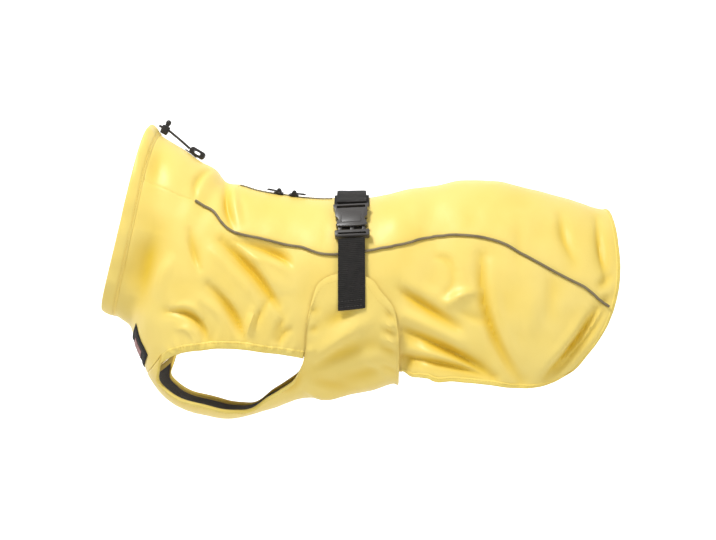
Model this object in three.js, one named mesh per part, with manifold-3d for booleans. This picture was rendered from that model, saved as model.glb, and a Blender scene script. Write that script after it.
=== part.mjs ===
// A dog raincoat in the hollow shape it has when it is worn, as a tree of named solids.
// Millimetres, +Z up, +X towards the tail, the dog's left side towards -Y.
// The origin is where the coat rests on the wearer's back: the inner face of the back
// panel under the belly strap.
import * as THREE from "three";
import { mergeVertices } from "three/addons/utils/BufferGeometryUtils.js";
import Module from "manifold-3d";

const wasm = await Module();
wasm.setup();

const { PI, abs, sin, cos, min, max, sign } = Math;
const DEGREE = PI / 180;

// Driving sizes
const WALL = 2;
const SEAM = 0.3;
const BAND_SEAM = 0.7;
const LAYER = 1.3;
const FLAP_LIFT = LAYER + WALL;
const LEG_BINDING_WIDTH = 8.5;
const EDGE_BINDING_WIDTH = 4.5;
const HEM_BINDING_WIDTH = 5;
const PIPING_RADIUS = 1.25;
const CASING_BULGE = 1.2;
const CASING_EXTRA = 0.6;
const BINDING_EXTRA = 0.6;
const LINING = 1;
const WEBBING = 1.8;
const STRAP_WIDTH = 25.6;
const CORD_RADIUS = 1.1;

// Places on the coat are given as seen from the left, projected onto its middle plane
// from this eye, and are then found on the curved surface.
const EYE = new THREE.Vector3(6, -1200, -70);

function table(columns, rows) {
  return rows.map((row) => Object.fromEntries(columns.map((name, i) => [name, row[i]])));
}

// Cross-sections of the outer face from the collar's rim to the rear hem. Each runs from
// the ridge on the back to the keel under the chest; behind the belly flap the keel is
// only where the open sides would meet. Bow moves a section towards the tail, down to the
// share of its depth in bowEnd.
const SECTIONS = table(
  ["ridgeX", "ridgeZ", "keelX", "keelZ", "half", "low", "bow", "bowEnd"],
  [
    [-200, 75, -249, -109, 60, 2.0, 6, 1],
    [-190, 64, -235, -116, 60, 2.0, 6, 1],
    [-168, 51, -228, -121, 60, 2.0, 4, 1],
    [-150, 38, -221, -127, 62, 2.0, 2, 1],
    [-136, 30, -216, -138, 64, 2.1, 0, 1],
    [-125, 18, -212, -150, 67, 2.2, 0, 1],
    [-110, 15, -207, -162, 69, 2.3, 0, 1],
    [-94, 10.5, -199, -180, 71, 2.4, 0, 1],
    [-77, 7.5, -181, -201, 72, 2.5, 0, 1],
    [-60, 5, -152, -213, 72, 2.5, 0, 1],
    [-44, 3, -117, -218, 72, 2.5, 0, 1],
    [-30, 2, -82, -208, 71, 2.5, 0, 1],
    [-14, 2, -52, -195, 70, 2.5, 0, 1],
    [2, 2, -17, -193, 70, 2.5, 0, 1],
    [23, 3, 18, -187, 70, 2.5, 0, 1],
    [43, 8, 46, -181, 71, 2.4, 0, 1],
    [60, 11.5, 58, -210, 72, 2.3, 1, 0.9],
    [80, 14, 72, -263, 74, 2.2, 2, 0.7],
    [108, 19.5, 93, -268, 76, 2.1, 4, 0.7],
    [148, 18, 116, -272, 77, 2.0, 9, 0.7],
    [178, 11, 131, -271, 76, 2.0, 15, 0.7],
    [208, 3, 145, -268, 74, 2.0, 20, 0.7],
    [238, -6, 158, -260, 70, 2.0, 25, 0.7],
    [255, -10, 169, -253, 64, 2.0, 28, 0.7],
  ],
);
const LAST = SECTIONS.length - 1;
const WIDEST = 0.45;
const BOW_SKEW = 1.25;

// Seam between the back panel and a side panel, with the reflective piping in it from the
// third row on.
const BACK_SEAM = table(
  ["x", "z"],
  [
    [-209, 22],
    [-184, 10],
    [-157, -1],
    [-143, -9],
    [-130, -23],
    [-118, -32],
    [-90, -39],
    [-52, -47],
    [-27, -54.5],
    [0, -53],
    [27, -49],
    [41, -46.5],
    [56, -43],
    [79, -38],
    [94, -36],
    [109, -35.5],
    [140, -40],
    [170, -54],
    [201, -71],
    [232, -87],
    [246, -99],
    [250, -112],
  ],
);
const PIPING_FIRST = 2;

// Upper edge of the left leg hole from the chest seam to the belly flap, the upper border
// of the gathered band along it, and the section number where each row of the side panel
// that ends on it starts at the back seam.
const LEG_TOP = table(
  ["x", "z", "bandX", "bandZ", "top"],
  [
    [-191, -163, -190.6, -155, 7],
    [-180, -156.5, -183.5, -149, 7.3],
    [-171, -153.6, -173, -145.4, 7.6],
    [-162, -152, -163, -143.6, 7.95],
    [-152, -151, -152, -142.5, 8.25],
    [-132, -149, -132, -140.5, 8.85],
    [-102, -151, -102, -142.5, 9.75],
    [-72, -155, -72, -146.5, 10.8],
    [-50, -158.5, -50, -150, 11.7],
  ],
);

// Lower border of a side panel behind the leg hole: the turn from the ridge in degrees at
// each section number, under the flap first and then along the hem.
const HEM = table(
  ["at", "turn"],
  [
    [12.5, 138],
    [13.3, 148],
    [14.4, 151],
    [15, 148],
    [15.5, 141],
    [16, 131],
    [16.5, 119],
    [17, 112.5],
    [18, 113.5],
    [19, 114.5],
    [20, 115],
    [21, 115],
    [22, 114.5],
    [22.6, 112.5],
    [23, 109.6],
  ],
);

// Left edge of the panel under the chest and belly, with the section number on the keel
// from which each row of it starts: the strip between the legs, then the flap. The last
// row is the flap's rear edge.
const CHEST_EDGE = table(
  ["x", "z", "keel"],
  [
    [-191, -156.3, 6.5],
    [-193.5, -171, 6.9],
    [-194, -181, 7.4],
    [-186, -191, 7.9],
    [-171, -200, 8.4],
    [-149, -205.5, 9],
    [-118, -212, 9.8],
    [-99, -210, 10.3],
    [-82, -197, 10.9],
    [-61, -182, 11.5],
    [-53, -170, 11.9],
    [-48, -156, 12.2],
    [-45.5, -138, 12.4],
    [-43, -112, 12.6],
    [-33, -83, 12.8],
    [-14, -74, 13.1],
    [6, -73, 13.5],
    [27, -89, 14],
    [42, -109, 14.6],
    [47, -134, 15.1],
  ],
);
const FLAP_ROW = 10.6;
// The strip rises to lie over the side panels between these two rows.
const STRIP_RISE = { from: 7.6, to: 9.6 };
const CHEST_START = CHEST_EDGE[0].keel;

// The plain patch on the chest: its section numbers, its half width in turn, how far it
// stands off the cloth and its thickness.
const PATCH = { from: 3.9, to: 6.3, half: 34 * DEGREE, off: 0.4, thick: 1.2 };

// Folds as seen from the left: a soft trough or ridge from one end to the other, bent to
// one side, with its half width and its depth outwards. The right side has like ones.
const FOLD_COLUMNS = ["fromX", "fromZ", "toX", "toZ", "bend", "width", "rise"];
const LEFT_FOLDS = table(FOLD_COLUMNS, [
  [-126, 14, -119, -26, 2, 6, -3.5],
  [-199, -32, -215, -98, 3, 14, -4],
  [-114, -43, -38, -86, -9, 8, -4],
  [-130, -42, -74, -112, -5, 8, -5],
  [-162, -33, -154, -66, 0, 7, -2],
  [-143, -87, -108, -138, -4, 7, -3.5],
  [-105, -136, -98, -113, 0, 7, 3],
  [-185, -113, -146, -138, -10, 7, -3.5],
  [-72, -140, -50, -134, -7, 6, -2.5],
  [45, -92, 102, -126, 0, 9, -4],
  [50, -134, 141, -177, -3, 8, -6],
  [52, -158, 120, -177, -2, 6.5, -3.5],
  [98, -103, 121, -92, 0, 8, 3],
  [129, -57, 168, -180, 11, 8, -4],
  [245, -110, 195, -177, -3, 7, -4.5],
  [245, -22, 253, -72, 0, 7, -2.5],
  [208, -18, 222, -60, 2, 8, -2],
]);
const RIGHT_FOLDS = table(FOLD_COLUMNS, [
  [-128, 8, -116, -34, 3, 7, -3],
  [-204, -38, -219, -96, 3, 14, -3.5],
  [-110, -46, -44, -82, -7, 8, -3.5],
  [-134, -44, -80, -106, -4, 8, -4.5],
  [-148, -84, -116, -134, -3, 7, -3],
  [-108, -138, -96, -118, 0, 7, 2.5],
  [-180, -116, -150, -138, -8, 7, -3],
  [-76, -138, -54, -133, -5, 6, -2.5],
  [42, -90, 106, -134, 2, 9, -4.5],
  [46, -132, 132, -176, -3, 8, -5],
  [92, -106, 118, -90, 0, 8, 2.5],
  [134, -60, 162, -178, 8, 8, -4],
  [244, -114, 196, -175, -3, 7, -4],
  [214, -30, 226, -72, 0, 8, -2],
]);
// The flap and the strap press the cloth flat within this stretch of the middle plane.
const PRESSED = { front: -52, rear: 52, fade: 16 };
const PUCKERS = 11;
const PUCKER_RISE = 0.7;

// The zip lies in a slit left of the ridge, with two sliders that meet nose to nose.
const ZIP = { front: -111, rear: -21, turn: 0.2, width: 3.4, rise: 0.4 };
const SLIDERS = table(
  ["name", "x", "hand"],
  [
    ["front", -72.5, -1],
    ["rear", -57.5, 1],
  ],
);
const SLIDER = { length: 10, width: 8, height: 1.8, corner: 2, seat: 0.7 };
const PIN = { radius: 0.5, rise: 1, span: 3.4 };
const LUG = { length: 1.6, width: 1.2, height: 1.8, sunk: 0.1 };
const PULL = {
  length: 12,
  width: 5,
  thick: 1.1,
  corner: 1.6,
  tabFrom: 4,
  barrel: 0.95,
  neck: 2.6,
  neckFrom: 0.7,
  neckTo: 5.1,
  clear: 0.25,
};

// The belly strap, down from the back at x = 0 on both sides. A layer runs from one turn
// to the other, in degrees, left positive, at a distance out from the cloth.
const STRAP_LAYERS = table(
  ["name", "width", "from", "to", "out", "thick", "rows"],
  [
    ["strap_anchor", 34, 30, -26, 0.6, 2.2, 10],
    ["strap_over_back", 27, 32.4, -98, 3.4, WEBBING, 22],
    ["strap_loop", 29, 32.4, -16, 5.6, WEBBING, 9],
    ["strap_left", STRAP_WIDTH, 98, 60.9, 3.4, WEBBING, 8],
  ],
);
const BUCKLE = {
  turn: 47 * DEGREE,
  seat: 0.6,
  thick: 7,
  width: 31,
  headWidth: 34,
  top: 19,
  bottom: -7.4,
  baseTop: -12.2,
  baseBottom: -19.2,
  notch: 3.2,
  notchLength: 8,
  notchY: -0.4,
  rim: 4,
  shell: 1.8,
  corner: 1.6,
  cavityTop: 8.6,
  prong: 4,
  prongTop: 4.6,
  prongInset: 4.5,
};
// Webbing rises by this much to pass over the buckle's ends, from flat at the far edge of
// the fade.
const STRAP_END = { lift: 2.2, reach: 14 * DEGREE, fade: 10 * DEGREE };

// Cord lock, cord end and the two strands between them and the collar. The lock's heights
// are measured from where the strands cross it.
const LOCK = { x: -186.4, z: 71, tilt: 27 * DEGREE, radius: 4.2, bottom: -5.6, top: 3.3 };
const BUTTON = { radius: 2.8, centre: 6.9, stem: 2.2, stemFrom: 3.5, bore: 2.55, boreFrom: 1.2 };
const CORD_END = { x: -154.5, z: 46.8, length: 17, height: 8, width: 7.4, corner: 3.4 };
const CORD_END_DIP = 31 * DEGREE;
const CORD_END_SLOT = { length: 7, height: 2.4, corner: 1.15 };
const STRAND_SIDE = 1.35;
const STRAND_SLOT = 0.35;

// Where the strands run, as seen on the middle plane: from the collar's hole through the
// cord lock to the cord end.
const CORD_ROUTE = table(
  ["x", "z"],
  [
    [-192.4, 74.3],
    [-189.8, 72.9],
    [-186.4, 71.1],
    [-182.9, 69.2],
    [-176, 63.6],
    [-169, 57.6],
    [-162.4, 51.7],
  ],
);

const MATERIAL = {
  cloth: new THREE.MeshStandardMaterial({ color: 0xf6d43c, roughness: 0.5, metalness: 0 }),
  lining: new THREE.MeshStandardMaterial({ color: 0x2c2826, roughness: 0.9, metalness: 0 }),
  webbing: new THREE.MeshStandardMaterial({ color: 0x26231f, roughness: 0.9, metalness: 0 }),
  reflective: new THREE.MeshStandardMaterial({ color: 0x7d765c, roughness: 0.4, metalness: 0 }),
  plastic: new THREE.MeshStandardMaterial({ color: 0x3b3838, roughness: 0.35, metalness: 0 }),
  zip: new THREE.MeshStandardMaterial({ color: 0x1d1b1a, roughness: 0.6, metalness: 0 }),
};

// Interpolation

// The smooth value that the four neighbours a, b, c, d give a fraction t past b.
function smooth(a, b, c, d, t) {
  const bend = 2 * a - 5 * b + 4 * c - d;
  const twist = 3 * b - a - 3 * c + d;
  return 0.5 * (2 * b + (c - a) * t + bend * t * t + twist * t * t * t);
}

// A row of a table at any number between its rows.
function between(rows, at) {
  const i = min(max(Math.floor(at), 0), rows.length - 2);
  const near = [i - 1, i, i + 1, i + 2].map((k) => rows[min(max(k, 0), rows.length - 1)]);
  const names = Object.keys(rows[0]);
  return Object.fromEntries(
    names.map((name) => [name, smooth(...near.map((row) => row[name]), at - i)]),
  );
}

// The value at a section number of a curve through places on the coat, in order.
function turnAt(places, at) {
  const last = places.length - 2;
  let i = places.findIndex((place) => place.at > at) - 1;
  if (i < 0) i = at <= places[0].at ? 0 : last;
  const t = (at - places[i].at) / (places[i + 1].at - places[i].at);
  const ends = [i - 1, i, i + 1, i + 2].map((k) => places[min(max(k, 0), last + 1)].turn);
  return smooth(...ends, min(max(t, 0), 1));
}

function blend(from, to, value) {
  const t = min(max((value - from) / (to - from), 0), 1);
  return t * t * (3 - 2 * t);
}

// The coat's surface

// The outer face at a section number and a turn from the ridge, positive on the left.
function face(at, turn) {
  let round = turn;
  if (round > PI) round -= 2 * PI;
  if (round < -PI) round += 2 * PI;
  const row = between(SECTIONS, at);
  const angle = abs(round);
  const upper = angle < PI / 2;
  const power = upper ? 1 : 2 / row.low;
  const rise = abs(cos(angle)) ** power;
  const depth = upper ? WIDEST * (1 - rise) : WIDEST + (1 - WIDEST) * rise;
  const bow = row.bow * sin(PI * min(depth / row.bowEnd, 1) ** BOW_SKEW) ** 0.8;
  return new THREE.Vector3(
    row.ridgeX + (row.keelX - row.ridgeX) * depth + bow,
    -sign(round) * row.half * sin(angle) ** power,
    row.ridgeZ + (row.keelZ - row.ridgeZ) * depth,
  );
}

function outward(at, turn) {
  const step = 0.02;
  const back = face(at + step, turn).sub(face(at - step, turn));
  const round = face(at, turn + step).sub(face(at, turn - step));
  return round.cross(back).normalize();
}

// The turn that a length round the coat makes at a place.
function turnFor(length, at, turn) {
  const step = 0.02;
  return (length * 2 * step) / face(at, turn + step).distanceTo(face(at, turn - step));
}

// A point of the surface as the eye sees it on the middle plane.
function seen(point) {
  const scale = -EYE.y / (-abs(point.y) - EYE.y);
  return [EYE.x + (point.x - EYE.x) * scale, EYE.z + (point.z - EYE.z) * scale];
}

const SCOUTS = [];
for (let at = 0; at <= LAST; at += 0.5) {
  for (let turn = 6; turn <= 174; turn += 6) {
    SCOUTS.push({ at, turn: turn * DEGREE, spot: seen(face(at, turn * DEGREE)) });
  }
}

// The section number and turn of a place on the left side, from where the eye sees it.
function locate({ x, z }) {
  const miss = ({ spot }) => (spot[0] - x) ** 2 + (spot[1] - z) ** 2;
  const nearest = SCOUTS.reduce((best, scout) => (miss(scout) < miss(best) ? scout : best));
  let { at, turn } = nearest;
  const step = 0.004;
  for (let round = 0; round < 12; round += 1) {
    const [hereX, hereZ] = seen(face(at, turn));
    const [backX, backZ] = seen(face(at + step, turn));
    const [downX, downZ] = seen(face(at, turn + step));
    const a = (backX - hereX) / step;
    const b = (downX - hereX) / step;
    const c = (backZ - hereZ) / step;
    const d = (downZ - hereZ) / step;
    const area = a * d - b * c;
    at += min(max(((x - hereX) * d - (z - hereZ) * b) / area, -0.5), 0.5);
    turn += min(max((a * (z - hereZ) - c * (x - hereX)) / area, -0.2), 0.2);
    turn = min(max(turn, 0.5 * DEGREE), PI - 0.5 * DEGREE);
  }
  return { at, turn };
}

// How far one fold moves the cloth at a spot of the middle plane.
function foldAt(fold, [x, z]) {
  const runX = fold.toX - fold.fromX;
  const runZ = fold.toZ - fold.fromZ;
  const length = Math.hypot(runX, runZ);
  const along = ((x - fold.fromX) * runX + (z - fold.fromZ) * runZ) / length ** 2;
  const aside = ((x - fold.fromX) * runZ - (z - fold.fromZ) * runX) / length;
  const t = min(max(along, 0), 1);
  const past = (along - t) * length;
  const off = aside - fold.bend * 4 * t * (1 - t);
  const taper = 0.35 + 0.65 * sin(PI * t);
  return fold.rise * taper * Math.exp(-(off * off + past * past) / fold.width ** 2);
}

// How far all the folds move the cloth at a place, outwards.
function folded(at, turn) {
  const point = face(at, turn);
  const spot = seen(point);
  const rows = point.y < 0 ? LEFT_FOLDS : RIGHT_FOLDS;
  const total = rows.reduce((sum, fold) => sum + foldAt(fold, spot), 0);
  const ahead = blend(PRESSED.front, PRESSED.front - PRESSED.fade, point.x);
  const behind = blend(PRESSED.rear - PRESSED.fade, PRESSED.rear + 2, point.x);
  const flank = blend(2, 24, abs(point.y));
  return total * max(ahead, behind) * flank;
}

// The point a distance out from the folded cloth.
function lift(at, turn, out) {
  return face(at, turn).addScaledVector(outward(at, turn), folded(at, turn) + out);
}

// Curves on the surface
const backSeam = BACK_SEAM.map(locate);
backSeam[0].at = min(backSeam[0].at, 1);
backSeam[backSeam.length - 1].at = LAST;
const chestEdge = CHEST_EDGE.map((row) => ({ ...locate(row), keel: row.keel }));
const legTop = LEG_TOP.map(locate);
const legBand = LEG_TOP.map((row) => ({
  ...locate({ x: row.bandX, z: row.bandZ }),
  top: row.top,
}));
const hem = HEM.map(({ at, turn }) => ({ at, turn: turn * DEGREE, top: at }));

// The part of a section step that a millimetre makes along the coat.
const STEP_PER_MM = 1 / 15;
const FIRST_AT = 1 + SEAM * STEP_PER_MM;
const HEM_START = 15.3;
const REAR_EDGE = LAST - (HEM_BINDING_WIDTH + BAND_SEAM) * STEP_PER_MM;
const CLOSEST_ROWS = 0.3;
const CORNER_CUT = 0.6 * DEGREE;

// Solids

function solidMesh(name, points, triangles, material) {
  const geometry = new THREE.BufferGeometry();
  const values = points.flatMap((point) => [point.x, point.y, point.z]);
  geometry.setAttribute("position", new THREE.Float32BufferAttribute(values, 3));
  let volume = 0;
  for (let i = 0; i < triangles.length; i += 3) {
    const [a, b, c] = [0, 1, 2].map((k) => points[triangles[i + k]]);
    volume += a.dot(new THREE.Vector3().crossVectors(b, c));
  }
  const flipped = triangles.map((corner, i) => triangles[i + [0, 1, -1][i % 3]]);
  geometry.setIndex(volume < 0 ? flipped : triangles);
  geometry.computeVertexNormals();
  const mesh = new THREE.Mesh(geometry, material);
  mesh.name = name;
  return mesh;
}

// A wall over a lattice of places. inner and outer are distances out from the folded
// cloth, or functions of the two lattice fractions. Cells for which hole is true are left
// out, and closed joins the last column to the first. Both faces of a cell are split along
// the same diagonal, so that they stay apart where the cell is twisted.
function wall(name, shape, material) {
  const { rows, columns, place, inner, outer, closed = false, hole = () => false } = shape;
  const across = closed ? columns : columns + 1;
  const points = [];
  for (const side of [outer, inner]) {
    for (let i = 0; i <= rows; i += 1) {
      for (let j = 0; j < across; j += 1) {
        const { at, turn } = place(i / rows, j / columns, i, j);
        const out = typeof side === "function" ? side(i / rows, j / columns, at) : side;
        points.push(lift(at, turn, out));
      }
    }
  }
  const layer = (rows + 1) * across;
  const top = (i, j) => i * across + (j % across);
  const kept = (i, j) =>
    i >= 0 && i < rows && (closed || (j >= 0 && j < columns)) && !hole(i, j);
  const triangles = [];
  const quad = (a, b, c, d) => triangles.push(a, b, c, a, c, d);
  const rim = (a, b) => quad(b, a, a + layer, b + layer);
  for (let i = 0; i < rows; i += 1) {
    for (let j = 0; j < columns; j += 1) {
      if (!kept(i, j)) continue;
      const [a, b, c, d] = [top(i, j), top(i, j + 1), top(i + 1, j + 1), top(i + 1, j)];
      quad(a, b, c, d);
      quad(a + layer, d + layer, c + layer, b + layer);
      if (!kept(i - 1, j)) rim(a, b);
      if (!kept(i, j + 1)) rim(b, c);
      if (!kept(i + 1, j)) rim(c, d);
      if (!kept(i, j - 1)) rim(d, a);
    }
  }
  const used = [...new Set(triangles)].sort((a, b) => a - b);
  const numbers = new Map(used.map((index, i) => [index, i]));
  const corners = used.map((index) => points[index]);
  return solidMesh(name, corners, triangles.map((index) => numbers.get(index)), material);
}

const coat = new THREE.Group();

// The section number at which a turn's line passes a length along the coat.
function sectionAtX(x, turn) {
  let low = 0;
  let high = LAST;
  for (let round = 0; round < 24; round += 1) {
    const middle = (low + high) / 2;
    if (face(middle, turn).x < x) low = middle;
    else high = middle;
  }
  return (low + high) / 2;
}

// A count of evenly spread rows along a smooth run of table rows.
function spread(rows, count) {
  const share = (rows.length - 1) / count;
  return Array.from({ length: count }, (_, i) => between(rows, i * share));
}

// The rows that the back and side panels share: from the back seam at one section number,
// top, to a side panel's lower border at another, at, along the keel, the chest seam, the
// leg band and then the hem.
function panelRows() {
  const slitTurn = (at) => PI - turnFor(SEAM / 2, at, PI);
  const corner = legBand[0];
  const keelFirst = { at: FIRST_AT, turn: slitTurn(FIRST_AT), top: FIRST_AT };
  const keelEnd = { at: CHEST_START, turn: slitTurn(CHEST_START), top: CHEST_START - 0.5 };
  const rear = hem.filter((row) => row.at < REAR_EDGE - CLOSEST_ROWS);
  const cornerTurn = turnAt(hem, REAR_EDGE) - CORNER_CUT;
  const last = { at: REAR_EDGE, turn: cornerTurn, top: REAR_EDGE };
  return [
    ...spread([keelFirst, keelEnd], 8),
    ...spread([keelEnd, { at: corner.at - 0.03, turn: corner.turn, top: corner.top }], 4),
    ...spread(legBand, 11),
    ...spread([legBand[legBand.length - 1], ...rear, last], 23),
    last,
  ];
}

const PANEL_ROWS = panelRows();
const SIDE_COLUMNS = 10;

// The back panel, with a slit for the zip between two of its rows and two of its columns
const nearestRow = (x) => {
  const at = sectionAtX(x, ZIP.turn);
  const miss = (row) => abs(row.top - at);
  return PANEL_ROWS.reduce((best, row, i) => (miss(row) < miss(PANEL_ROWS[best]) ? i : best), 0);
};
const BACK_COLUMNS = 8;
const SLIT = { from: nearestRow(ZIP.front), to: nearestRow(ZIP.rear), column: 4 };

// The turn of one of the back panel's columns at a section number.
function backTurn(at, column) {
  const seamTurn = turnAt(backSeam, at);
  const edge = seamTurn - turnFor(SEAM / 2, at, seamTurn);
  const half = turnFor(ZIP.width / 2 + SEAM, at, ZIP.turn);
  if (column <= SLIT.column) return -edge + ((edge + ZIP.turn - half) * column) / SLIT.column;
  const share = (column - SLIT.column - 1) / (BACK_COLUMNS - SLIT.column - 1);
  return ZIP.turn + half + (edge - ZIP.turn - half) * share;
}

function backPanel() {
  const place = (s, t, i, j) => {
    const at = PANEL_ROWS[i].top;
    return { at, turn: backTurn(at, j) };
  };
  const hole = (i, j) => i >= SLIT.from && i < SLIT.to && j === SLIT.column;
  const rows = PANEL_ROWS.length - 1;
  const shape = { rows, columns: BACK_COLUMNS, place, inner: -WALL, outer: 0, hole };
  return wall("back_panel", shape, MATERIAL.cloth);
}

// The place a fraction of the way down a side panel on one of its rows, on the left.
function sidePlace(row, t) {
  const { at, turn, top } = row;
  const seamTurn = turnAt(backSeam, top);
  const from = seamTurn + turnFor(SEAM / 2, top, seamTurn);
  const bound = at > HEM_START - 0.2 ? HEM_BINDING_WIDTH + BAND_SEAM : SEAM;
  const to = at < CHEST_START ? turn : turn - turnFor(bound, at, turn);
  return { at: top + (at - top) * t, turn: from + (to - from) * t };
}

function sidePanel(name, hand) {
  const place = (s, t, i) => {
    const { at, turn } = sidePlace(PANEL_ROWS[i], t);
    return { at, turn: hand * turn };
  };
  const rows = PANEL_ROWS.length - 1;
  const shape = { rows, columns: SIDE_COLUMNS, place, inner: -WALL, outer: 0 };
  return wall(name, shape, MATERIAL.cloth);
}

// The panel under the chest and belly: one lattice from the left edge to the right edge,
// its rows running across the keel.
const CHEST_ROWS = 29;
const CHEST_COLUMNS = 14;
const CHEST_LAST = CHEST_EDGE.length - 1;
const BINDING_ROWS = Math.floor((CHEST_ROWS * FLAP_ROW) / CHEST_LAST);

// Millimetres from the keel to the edge along a row.
function rowReach(row) {
  let total = 0;
  let before = chestPlace(row, 0);
  for (let i = 1; i <= 6; i += 1) {
    const next = chestPlace(row, i / 6);
    total += face(next.at, next.turn).distanceTo(face(before.at, before.turn));
    before = next;
  }
  return total;
}

// The place a fraction of the way from the keel to the edge on a row, left side positive.
function chestPlace(row, across) {
  const edge = between(chestEdge, row);
  const share = abs(across);
  const at = edge.keel + (edge.at - edge.keel) * share;
  const turn = PI + (edge.turn - PI) * share;
  return { at, turn: across < 0 ? -turn : turn };
}

function chestLift(row) {
  return FLAP_LIFT * blend(STRIP_RISE.from, STRIP_RISE.to, row);
}

// How much of a lattice row is left inside the band along the strip's edges.
function chestSpan(i) {
  const row = (CHEST_LAST * i) / CHEST_ROWS;
  return i > BINDING_ROWS ? 1 : 1 - (EDGE_BINDING_WIDTH + BAND_SEAM) / rowReach(row);
}

function chestPanel() {
  const place = (s, t, i) => chestPlace(CHEST_LAST * s, (1 - 2 * t) * chestSpan(i));
  const outer = (s) => chestLift(CHEST_LAST * s);
  const inner = (s) => chestLift(CHEST_LAST * s) - WALL;
  const shape = { rows: CHEST_ROWS, columns: CHEST_COLUMNS, place, inner, outer };
  return wall("chest_belly_panel", shape, MATERIAL.cloth);
}

// The dark inside of the strip, on the same lattice one cell in from each border.
function chestLining() {
  const rows = BINDING_ROWS - 3;
  const columns = CHEST_COLUMNS - 2;
  const rowOf = (i) => (CHEST_LAST * (i + 1)) / CHEST_ROWS;
  const place = (s, t, i, j) =>
    chestPlace(rowOf(i), (1 - (2 * (j + 1)) / CHEST_COLUMNS) * chestSpan(i + 1));
  const back = (i) => chestLift(rowOf(i)) - WALL - SEAM;
  const outer = (s) => back(s * rows);
  const inner = (s) => back(s * rows) - LINING;
  return wall("chest_lining", { rows, columns, place, inner, outer }, MATERIAL.lining);
}

function chestBinding(name, hand) {
  const rowOf = (s) => (CHEST_LAST * s * BINDING_ROWS) / CHEST_ROWS;
  const place = (s, t) => {
    const row = rowOf(s);
    return chestPlace(row, hand * (1 - (EDGE_BINDING_WIDTH / rowReach(row)) * (1 - t)));
  };
  const outer = (s) => chestLift(rowOf(s)) + BINDING_EXTRA;
  const inner = (s) => chestLift(rowOf(s)) - WALL - BINDING_EXTRA;
  const shape = { rows: BINDING_ROWS, columns: 1, place, inner, outer };
  return wall(name, shape, MATERIAL.cloth);
}

function legBinding(name, hand) {
  const last = LEG_TOP.length - 1;
  const place = (s, t) => {
    const row = 0.03 + (last - 0.06) * s;
    const low = between(legTop, row);
    const high = between(legBand, row);
    const share = t * 0.96;
    return {
      at: low.at + (high.at - low.at) * share,
      turn: hand * (low.turn + (high.turn - low.turn) * share),
    };
  };
  const pucker = (s, t) => PUCKER_RISE * sin(2 * PI * PUCKERS * s) * sin(PI * (0.25 + t / 2));
  return wall(
    name,
    { rows: 33, columns: 2, place, inner: -WALL - 0.5, outer: (s, t) => 0.7 + pucker(s, t) },
    MATERIAL.cloth,
  );
}

// The band round the rear hem, in step with the rows and columns of the panels that it
// finishes: along the left side, over the rump and back along the right side.
function hemPath() {
  const sideways = PANEL_ROWS.filter((row) => row.at >= HEM_START - 0.2);
  const last = sideways.pop();
  const left = sideways.map(({ at, turn }) => ({ at, edge: turn, share: 1 }));
  const side = [];
  for (let j = SIDE_COLUMNS; j > 0; j -= 1) side.push(sidePlace(last, j / SIDE_COLUMNS).turn);
  side.push(turnAt(backSeam, last.top));
  const back = [];
  for (let j = BACK_COLUMNS - 1; j > 0; j -= 1) back.push(backTurn(last.top, j));
  const turns = [...side, ...back, ...side.map((turn) => -turn).reverse()];
  const across = turns.map((turn) => ({ share: turn / turns[0], rear: true }));
  return [...left, ...across, ...left.map((row) => ({ ...row, share: -1 })).reverse()];
}

function hemBinding() {
  const path = hemPath();
  const place = (s, t, i) => {
    const { at, edge, share, rear } = path[i];
    const width = HEM_BINDING_WIDTH * (1 - t);
    if (!rear) return { at, turn: share * (edge - turnFor(width, at, edge)) };
    const end = LAST - width * STEP_PER_MM;
    const border = turnAt(hem, end);
    return { at: end, turn: share * (border - turnFor(width, end, border)) };
  };
  const shape = { rows: path.length - 1, columns: 1, place, inner: -WALL - 0.5, outer: 0.5 };
  return wall("hem_binding", shape, MATERIAL.cloth);
}

function collarCasing() {
  const place = (s, t) => ({ at: s * (1 - SEAM * STEP_PER_MM), turn: (t * 2 - 1) * PI });
  const outer = (s) => CASING_BULGE * sin(PI * s) + 0.2;
  const inner = (s) => -WALL - CASING_EXTRA * (1 + sin(PI * s));
  return wall(
    "collar_casing",
    { rows: 3, columns: 30, place, inner, outer, closed: true },
    MATERIAL.cloth,
  );
}

function chestPatch() {
  const { from, to, half, off, thick } = PATCH;
  const place = (s, t) => ({ at: from + (to - from) * s, turn: PI + (t * 2 - 1) * half });
  const shape = { rows: 4, columns: 6, place, inner: off, outer: off + thick };
  return wall("chest_patch", shape, MATERIAL.webbing);
}

function rod(name, points, radius, sides, steps, material) {
  const ring = new THREE.Shape();
  for (let i = 0; i < sides; i += 1) {
    const angle = (2 * PI * i) / sides;
    const spot = [radius * cos(angle), radius * sin(angle)];
    if (i) ring.lineTo(...spot);
    else ring.moveTo(...spot);
  }
  const path = new THREE.CatmullRomCurve3(points);
  const mesh = new THREE.Mesh(
    new THREE.ExtrudeGeometry(ring, { steps, extrudePath: path, bevelEnabled: false }),
    material,
  );
  mesh.name = name;
  return mesh;
}

function piping(name, hand) {
  const from = backSeam[PIPING_FIRST].at;
  const to = REAR_EDGE - 0.1;
  const points = [];
  const count = 30;
  for (let i = 0; i <= count; i += 1) {
    const at = from + ((to - from) * i) / count;
    points.push(lift(at, hand * turnAt(backSeam, at), PIPING_RADIUS + 0.35));
  }
  return rod(name, points, PIPING_RADIUS, 6, 40, MATERIAL.reflective);
}

// Hardware

// A closed solid from a geometry, for cutting and joining.
function solid(geometry) {
  const plain = geometry.clone();
  plain.deleteAttribute("normal");
  plain.deleteAttribute("uv");
  const merged = mergeVertices(plain, 1e-4);
  return new wasm.Manifold(
    new wasm.Mesh({
      numProp: 3,
      vertProperties: new Float32Array(merged.attributes.position.array),
      triVerts: new Uint32Array(merged.index.array),
    }),
  );
}

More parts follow.
